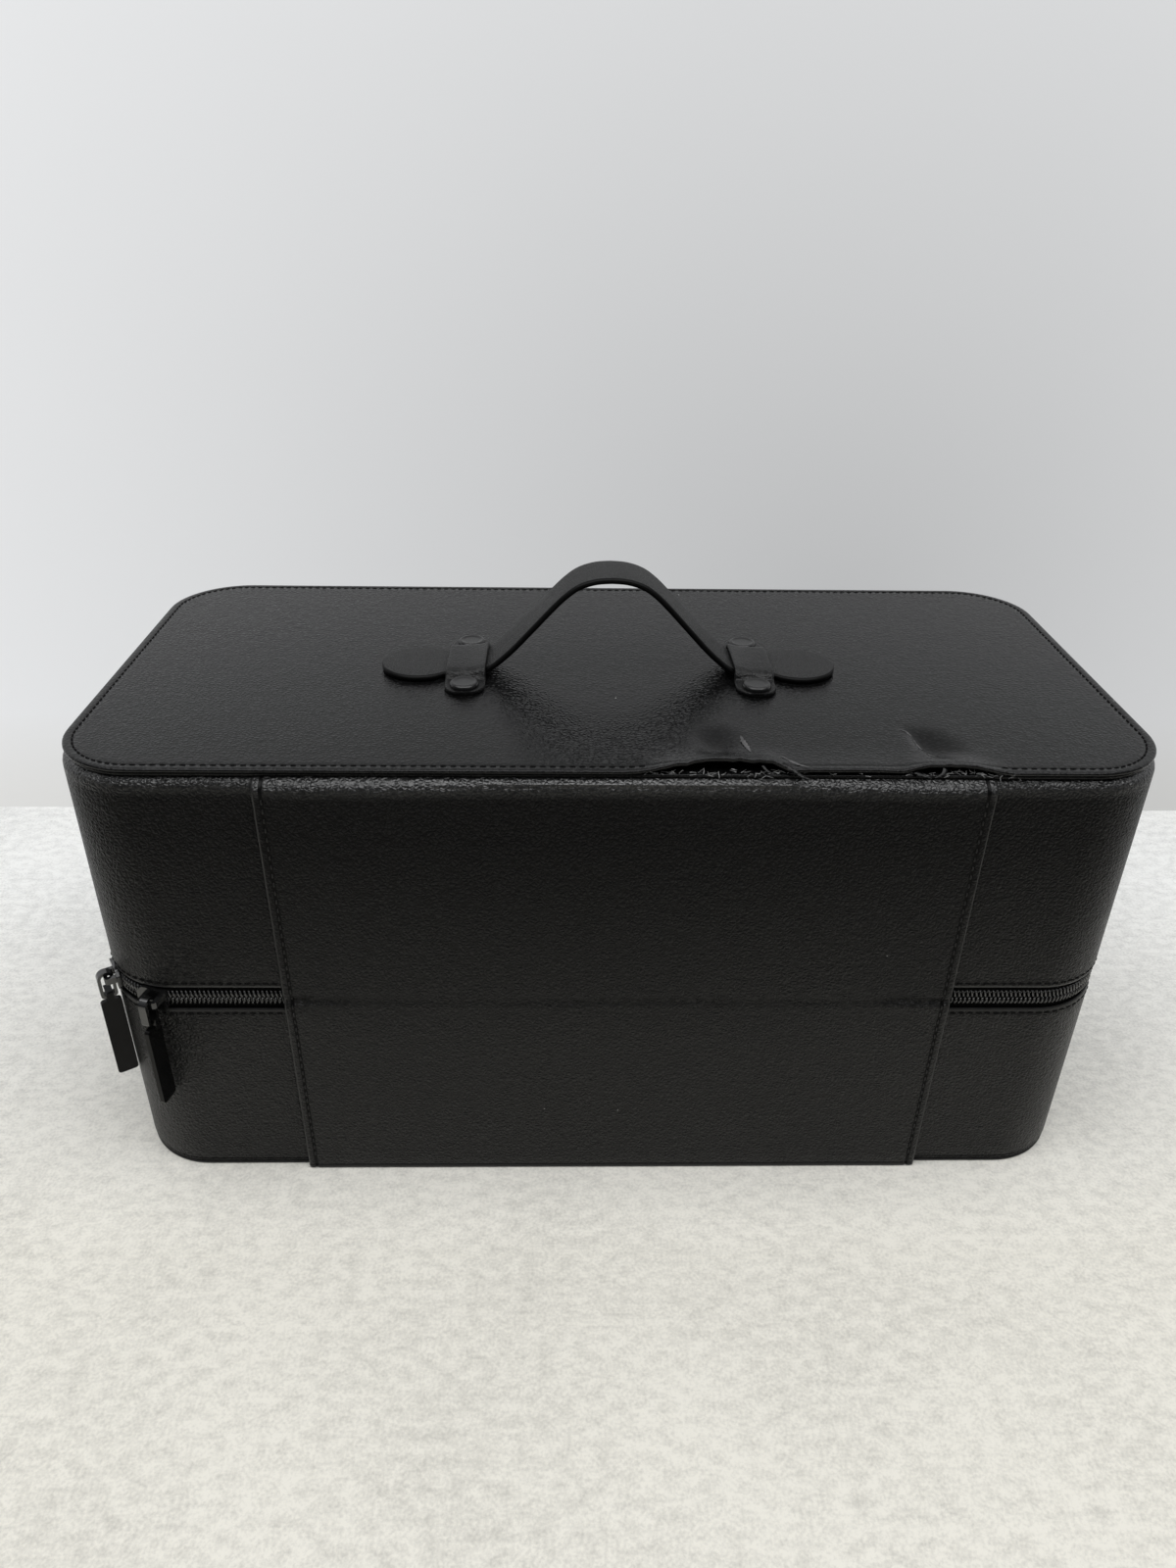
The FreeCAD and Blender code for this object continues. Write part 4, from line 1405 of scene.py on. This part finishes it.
    def keeper(self, side: int) -> None:
        """Build one leather keeper over the strap.

        Args:
            side: -1 for the left keeper and 1 for the right one.
        """
        seat = LEVELS.top + self.keeper_thickness / 2
        crown = self.keeper_profile[-1][1] * MM
        half = [Vector((0, y * MM, seat + rise * MM)) for y, rise in self.keeper_profile]
        other = [Vector((0, -point.y, point.z)) for point in reversed(half[:-1])]
        line = smooth_path(half + other, 8)
        rings = []
        for point, along in zip(line, directions(line)):
            up = along.cross(Vector((1, 0, 0)))
            up = -up if up.z < 0 else up
            past = max(abs(point.y) - self.keeper_half + self.keeper_radius, 0.0)
            width = math.sqrt(max(self.keeper_radius**2 - past**2, self.keeper_tip**2))
            crease = self.crease_depth * hump(abs(point.y), self.crease_y, self.crease_reach)
            row = []
            for x, rise in self.keeper_ring(width):
                ripple = crease * wobble(x * 330 + side, point.y * 900, 2.5) if rise > 0 else 0.0
                inward = max(self.lean_start - side * x, 0.0) / self.lean_reach
                lean = self.keeper_lean * inward**2 * (point.z - seat) / crown
                offset = Vector((x + side * self.keeper_x, self.centre_y, lean))
                row.append(point + offset + up * (rise + ripple))
            rings.append(row)
        name = "left" if side < 0 else "right"
        solid = Solid(f"keeper_{name}_skin").loft(rings, caps=CAPPED)
        solid.piece([KEEPER_LEATHER], Slot.LEATHER, "lid", [f"keeper_{name}"], angle=60)

    def rivets(self) -> None:
        """Build the four flat-topped caps with their raised rims."""
        seat = LEVELS.top + self.keeper_thickness
        turns = spaced(0.0, 2 * math.pi, self.rivet_sides)[:-1]
        solid = Solid("rivet_caps")
        for side in (-1, 1):
            for end in (-1, 1):
                x, y = side * self.keeper_x, self.centre_y + end * self.rivet_y
                centre = Vector((x, y, seat))
                rings = [[centre + Vector((size * math.cos(turn), size * math.sin(turn), rise)) * MM
                          for turn in turns] for size, rise in self.rivet_profile]
                solid.loft(rings, caps=CAPPED)
        solid.piece([CAP_METAL], Slot.METAL, "lid", ["handle_rivets"], angle=50)

    def build(self) -> None:
        """Build the handle's pieces."""
        self.strap()
        for side in (-1, 1):
            self.keeper(side)
        self.rivets()


@dataclass(frozen=True)
class Interior:
    """Linings, padded dividers and the brush board; profiles are in millimetres."""

    edge_gap: float = 5.5 * MM
    depth: float = 7.8 * MM
    lip_profile: Profile = (
        (1.95, 0.4), (1.97, -0.36), (2.4, -0.45), (4.0, -0.45), (4.5, -0.2), (4.62, 0.8))
    back_insets: Point = (4.2, 3.9)
    wave: float = 0.05 * MM
    floor_lip: float = 0.7 * MM
    floor_insets: tuple[float, ...] = (4.0, 6, 10, 16, 24, 34, 46, 60, 76)
    pad_step: float = 5 * MM
    pad_end: float = 5 * MM
    pad_pull: float = 0.22
    pad_swell: float = 0.10 * MM
    pad_section: Profile = (
        (0.40, 0.0), (0.47, 0.06), (0.485, 0.3), (0.49, 0.55), (0.485, 0.8), (0.465, 0.9),
        (0.40, 0.945), (0.445, 0.96), (0.42, 0.985), (0.22, 0.998))
    board_radius: float = 12 * MM
    board_profile: Profile = (
        (0.6, 4.2), (0.2, 3.6), (0.0, 2.4), (0.25, 1.3), (0.9, 0.6), (2.0, 0.35), (2.6, 0.75),
        (3.2, 0.4), (5.0, 0.15), (9.0, 0.05), (15, 0.0), (24, 0.0), (36, 0.0), (50, 0.0), (60, 0.0))
    pockets: int = 12
    pocket_depth: float = 2.4 * MM

    def lining(self, half: Half) -> None:
        """Build one half's wall lining, turned over the board's edge, and its end lining.

        Args:
            half: Which half.
        """
        sign, body = LEVELS.sign(half), half.value
        edge = LEVELS.fold + sign * self.edge_gap
        deep = LEVELS.end(half) - sign * self.depth
        profile = [(inset, edge + sign * rise * MM) for inset, rise in self.lip_profile]
        face = profile[-1][0]
        profile += [(face, level) for level in spaced(edge, deep, 14)[1:]]
        profile += zip(self.back_insets, (deep + sign * 0.02 * MM, (edge + deep) / 2))
        rings = OUTLINE.rings([(inset * MM, level) for inset, level in profile])
        solid = Solid(f"{body}_lining_cloth").loft(rings)
        drift = Vector((self.wave, self.wave, 0))
        solid.move(lambda point: point + drift * noise.noise(point * 35))
        solid.piece([LINING], Slot.LINING, body, [f"{body}_wall_lining"])
        name = "lid_top_lining" if half is Half.LID else "base_floor_lining"
        rows = [(self.floor_insets[0] * MM, deep + sign * self.floor_lip)]
        rows += [(inset * MM, deep) for inset in self.floor_insets]
        plate = Solid(name + "_cloth").loft(OUTLINE.rings(rows), caps=(False, True))
        plate.piece([LINING], Slot.LINING, body, [name])

    def pad(self, node: str) -> None:
        """Build one padded divider over its CAD board, with a piped top edge.

        Args:
            node: CAD node of the divider.
        """
        low, high = (Vector(corner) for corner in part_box(node))
        size, middle = high - low, (low + high) / 2
        along = 0 if size.x > size.y else 1
        across, length = 1 - along, size[along]
        outline = [*self.pad_section, (0.0, 1.0)]
        outline += [(-x, z) for x, z in reversed(self.pad_section)]
        rings = []
        for part in spaced(0.0, 1.0, max(round(length / self.pad_step), 6)):
            end = min(part, 1 - part) * length
            pull = 1 - self.pad_pull * (1 - ease(end, 0.0, self.pad_end))
            ring = []
            for x, z in outline:
                swell = self.pad_swell * wobble(part * length * 40, x * 3, z * 2.5)
                spot = Vector((0, 0, low.z + size.z * z))
                spot[along] = low[along] + length * part
                out = x * size[across] * pull
                spot[across] = middle[across] + out + swell * (1 if x > 0 else -1)
                ring.append(spot)
            rings.append(ring)
        solid = Solid(node + "_pad").loft(rings, caps=CAPPED)
        made = solid.piece([PADDING], Slot.PADDED, "base", [node], angle=60)

    def brush_board(self) -> None:
        """Build the quilted brush board."""
        low, high = (Vector(corner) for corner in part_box("brush_board"))
        board = CaseOutline(width=high.x - low.x, depth=high.y - low.y, radius=self.board_radius,
                            corner_steps=10)
        points = [(inset * MM, low.z + rise * MM) for inset, rise in self.board_profile]
        solid = Solid("brush_board_pad").loft(board.rings(points), caps=CAPPED)
        made = solid.piece([PADDING], Slot.PADDED, "lid", ["brush_board"], angle=60)

    def elastic(self) -> None:
        """Build the looped elastic on the brush board."""
        low, high = (Vector(corner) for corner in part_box("brush_elastic"))
        section = ((low.y, 0.0), (low.y, -0.7), (0.5 * low.y, -0.75), (0.0, -0.75),
                   (0.5 * high.y, -0.75), (high.y, -0.7), (high.y, 0.0))
        rings = []
        for part in spaced(0.0, 1.0, self.pockets * 12):
            x = low.x + (high.x - low.x) * part
            loop = abs(math.sin(math.pi * part * self.pockets)) ** 0.7
            level = high.z + 0.05 * MM - self.pocket_depth * loop
            rings.append([Vector((x, y, level + rise * MM)) for y, rise in section])
        band = Solid("brush_elastic_loops").loft(rings, caps=CAPPED)
        band.piece([ELASTIC], Slot.ELASTIC, "lid", ["brush_elastic"])

    def build(self) -> None:
        """Build the inside and give the hidden boards their finish."""
        for half in Half:
            self.lining(half)
        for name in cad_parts:
            if "divider" in name:
                self.pad(name)
        self.brush_board()
        self.elastic()
        for name in ("base_wall_board", "lid_wall_board", "base_floor_board", "lid_top_board"):
            paint(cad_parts[name], BOARD)


@dataclass(frozen=True)
class Studio:
    """Floor, backdrop, light and camera; lengths are in metres."""

    camera_at: Colour = (-0.016445, -0.369472, 0.330338)
    elevation: float = 29.94
    yaw: float = 1.51
    roll: float = 0.99
    lens: float = 25.36
    floor_reach: float = 2.5
    floor_tone: Colour = (0.72, 0.70, 0.635)
    far_painted_light_tone: Colour = (0.92, 0.92, 0.90)
    far_span: Point = (-0.12, 0.10)
    wall_y: float = 0.215
    wall_reach: float = 2.0
    wall_top: float = 1.6
    wall_tone: Colour = (0.84, 0.85, 0.86)
    wall_pale: float = 1.02
    wall_glow: float = 0.85
    cove: float = 0.04
    cove_shade_tone: Colour = (0.76, 0.76, 0.745)
    shade_at: Point = (0.14, 0.10)
    shade_reach: float = 0.55
    shade: float = 0.60
    sky_colour: tuple[float, ...] = (0.95, 0.97, 1.0, 1.0)
    sky: Point = (0.03, 0.5)
    sky_span: Point = (-0.45, 0.8)
    sky_lean: Colour = (0.0, 0.55, 1.0)
    lamp_at: Colour = (0.0, -0.22, 0.80)
    lamp_size: Point = (1.2, 0.5)
    lamp_power: float = 7.0

    def stand(self, name: str, reach: float, rows: Sequence[Point], material: Material) -> None:
        """Make a stage object that runs from side to side.

        Args:
            name: Its name.
            reach: Half its width.
            rows: Its profile in Y and Z.
            material: Its material.
        """
        rings = [[Vector((x, y, z)) for x in (-reach, 0.0, reach)] for y, z in rows]
        mesh = Solid(name).loft(rings, closed=False).mesh()
        mesh.materials.append(material)
        show(name, mesh)

    def backdrop(self) -> None:
        """Build the floor and the wall behind it, which meet in a cove."""
        reach = self.floor_reach
        self.stand("floor", reach, [(y, 0.0) for y in (-reach, 0.0, reach)], self.floor_sheet())
        rows = []
        for turn in spaced(0.0, math.pi / 2, 6):
            y = self.wall_y + self.cove * (math.sin(turn) - 1)
            rows.append((y, self.cove * (1 - math.cos(turn)) + 0.2 * MM))
        rows.append((self.wall_y, self.wall_top))
        self.stand("wall", self.wall_reach, rows, self.wall_sheet())

    def floor_sheet(self) -> Material:
        """Draw the pale floor with its faint used-looking texture; it is painted lighter away from
        the camera.

        Returns:
            The finished material.
        """
        sheet = NodeSheet(bpy.data.materials.new("pale_floor"))
        stretch = sheet.add("Mapping", {"Vector": sheet.coords, "Scale": (0.75, 1.15, 1.0)})
        streaks = sheet.noise(size=4.5 * MM, detail=7.0, coords=stretch.outputs[0])
        fine = sheet.noise(size=1.1 * MM, detail=4.0)
        clouds = sheet.noise(size=90 * MM)
        mix = sheet.total((streaks, 0.4), (fine, 0.4), (clouds, 0.2))
        # painted light and shade: the floor is darker and warmer near the camera, lighter away from
        # it
        away = sheet.spread(sheet.axis("Y"), 0.0, 1.0, *self.far_span)
        tone = sheet.tint(away, self.floor_tone, self.far_painted_light_tone)
        colour = sheet.scaled(tone, sheet.spread(mix, 0.76, 1.06, start=0.36, end=0.56))
        return sheet.surface(Base_Color=colour, Roughness=0.8, Specular_IOR_Level=0.3,
                             Normal=sheet.bump(streaks, strength=0.1, depth=0.3 * MM))

    def wall_sheet(self) -> Material:
        """Draw the wall, with painted shade in its cove and in a soft spot to the lower right,
        which lets through a look from behind it.

        Returns:
            The finished material.
        """
        sheet = NodeSheet(bpy.data.materials.new("pale_wall"))
        pale = [part * self.wall_pale for part in self.wall_tone]
        colour = sheet.tint(sheet.noise(size=160 * MM), self.wall_tone, pale)
        # painted shade: the cove is darker where the wall meets the floor
        rise = sheet.spread(sheet.axis("Z"), 0.0, 1.0, start=0.0, end=self.cove)
        colour = sheet.tint(rise, self.cove_shade_tone, colour)
        x, z = self.shade_at
        away = sheet.add("VectorMath", {0: sheet.coords, 1: (x, self.wall_y, z)},
                         operation="DISTANCE").outputs["Value"]
        colour = sheet.scaled(colour, sheet.spread(away, self.shade, 1.0, 0.0, self.shade_reach))
        rays = sheet.add("LightPath").outputs
        seen = sheet.math("ADD", rays["Is Camera Ray"], rays["Is Glossy Ray"])
        seen = sheet.math("ADD", seen, rays["Is Transmission Ray"])
        own = sheet.math("MULTIPLY", sheet.math("MINIMUM", seen, 1.0), self.wall_glow)
        lit = sheet.add("BsdfDiffuse", {"Color": colour}).outputs[0]
        glow = sheet.add("Emission", {"Color": colour}).outputs[0]
        face = sheet.add("MixShader", {0: own, 1: lit, 2: glow}).outputs[0]
        behind = sheet.add("NewGeometry").outputs["Backfacing"]
        clear = sheet.add("BsdfTransparent").outputs[0]
        return sheet.close(sheet.add("MixShader", {0: behind, 1: face, 2: clear}))

    def light(self) -> None:
        """Set the soft sky and the overhead lamp."""
        world = bpy.data.worlds.new("studio")
        bpy.context.scene.world = world
        sheet = NodeSheet(world, "OutputWorld", "Generated")
        lean = sheet.add("VectorMath", {0: sheet.coords, 1: self.sky_lean},
                         operation="DOT_PRODUCT").outputs["Value"]
        strength = sheet.spread(lean, *self.sky, *self.sky_span)
        sheet.close(sheet.add("Background", {"Color": self.sky_colour, "Strength": strength}))
        lamp = bpy.data.lights.new("overhead", "AREA")
        lamp.shape = "RECTANGLE"
        lamp.size, lamp.size_y = self.lamp_size
        lamp.energy = self.lamp_power
        made = show("overhead", lamp)
        made.location = self.lamp_at
        made.visible_camera = False

    def camera(self) -> None:
        """Set the camera where the photograph was taken from."""
        down, yaw, roll = map(math.radians, (self.elevation, self.yaw, self.roll))
        heading = Vector((math.sin(yaw), math.cos(yaw), 0))
        right = Vector((math.cos(yaw), -math.sin(yaw), 0))
        ahead = heading * math.cos(down) - UP * math.sin(down)
        above = heading * math.sin(down) + UP * math.cos(down)
        across = right * math.cos(roll) + above * math.sin(roll)
        above = above * math.cos(roll) - right * math.sin(roll)
        data = bpy.data.cameras.new("photo_view")
        data.lens = self.lens
        data.sensor_width = 36
        data.clip_start = 0.01
        made = show("photo_view", data)
        turn = Matrix((across, above, -ahead)).transposed().to_4x4()
        made.matrix_world = Matrix.Translation(Vector(self.camera_at)) @ turn
        bpy.context.scene.camera = made

    def build(self) -> None:
        """Set the stage."""
        self.camera()
        self.backdrop()
        self.light()
        bpy.context.scene.view_settings.view_transform = "Standard"


def main() -> None:
    """Build every sub-assembly in order."""
    logging.basicConfig(level=logging.INFO, format="%(message)s")
    for part in (Studio(), CaseShell(), HingePanel(), ZipChain(), ZipSliders(), StrapHandle(),
                 Interior()):
        log.info("building %s", type(part).__name__)
        part.build()


if __name__ == "__main__":
    main()
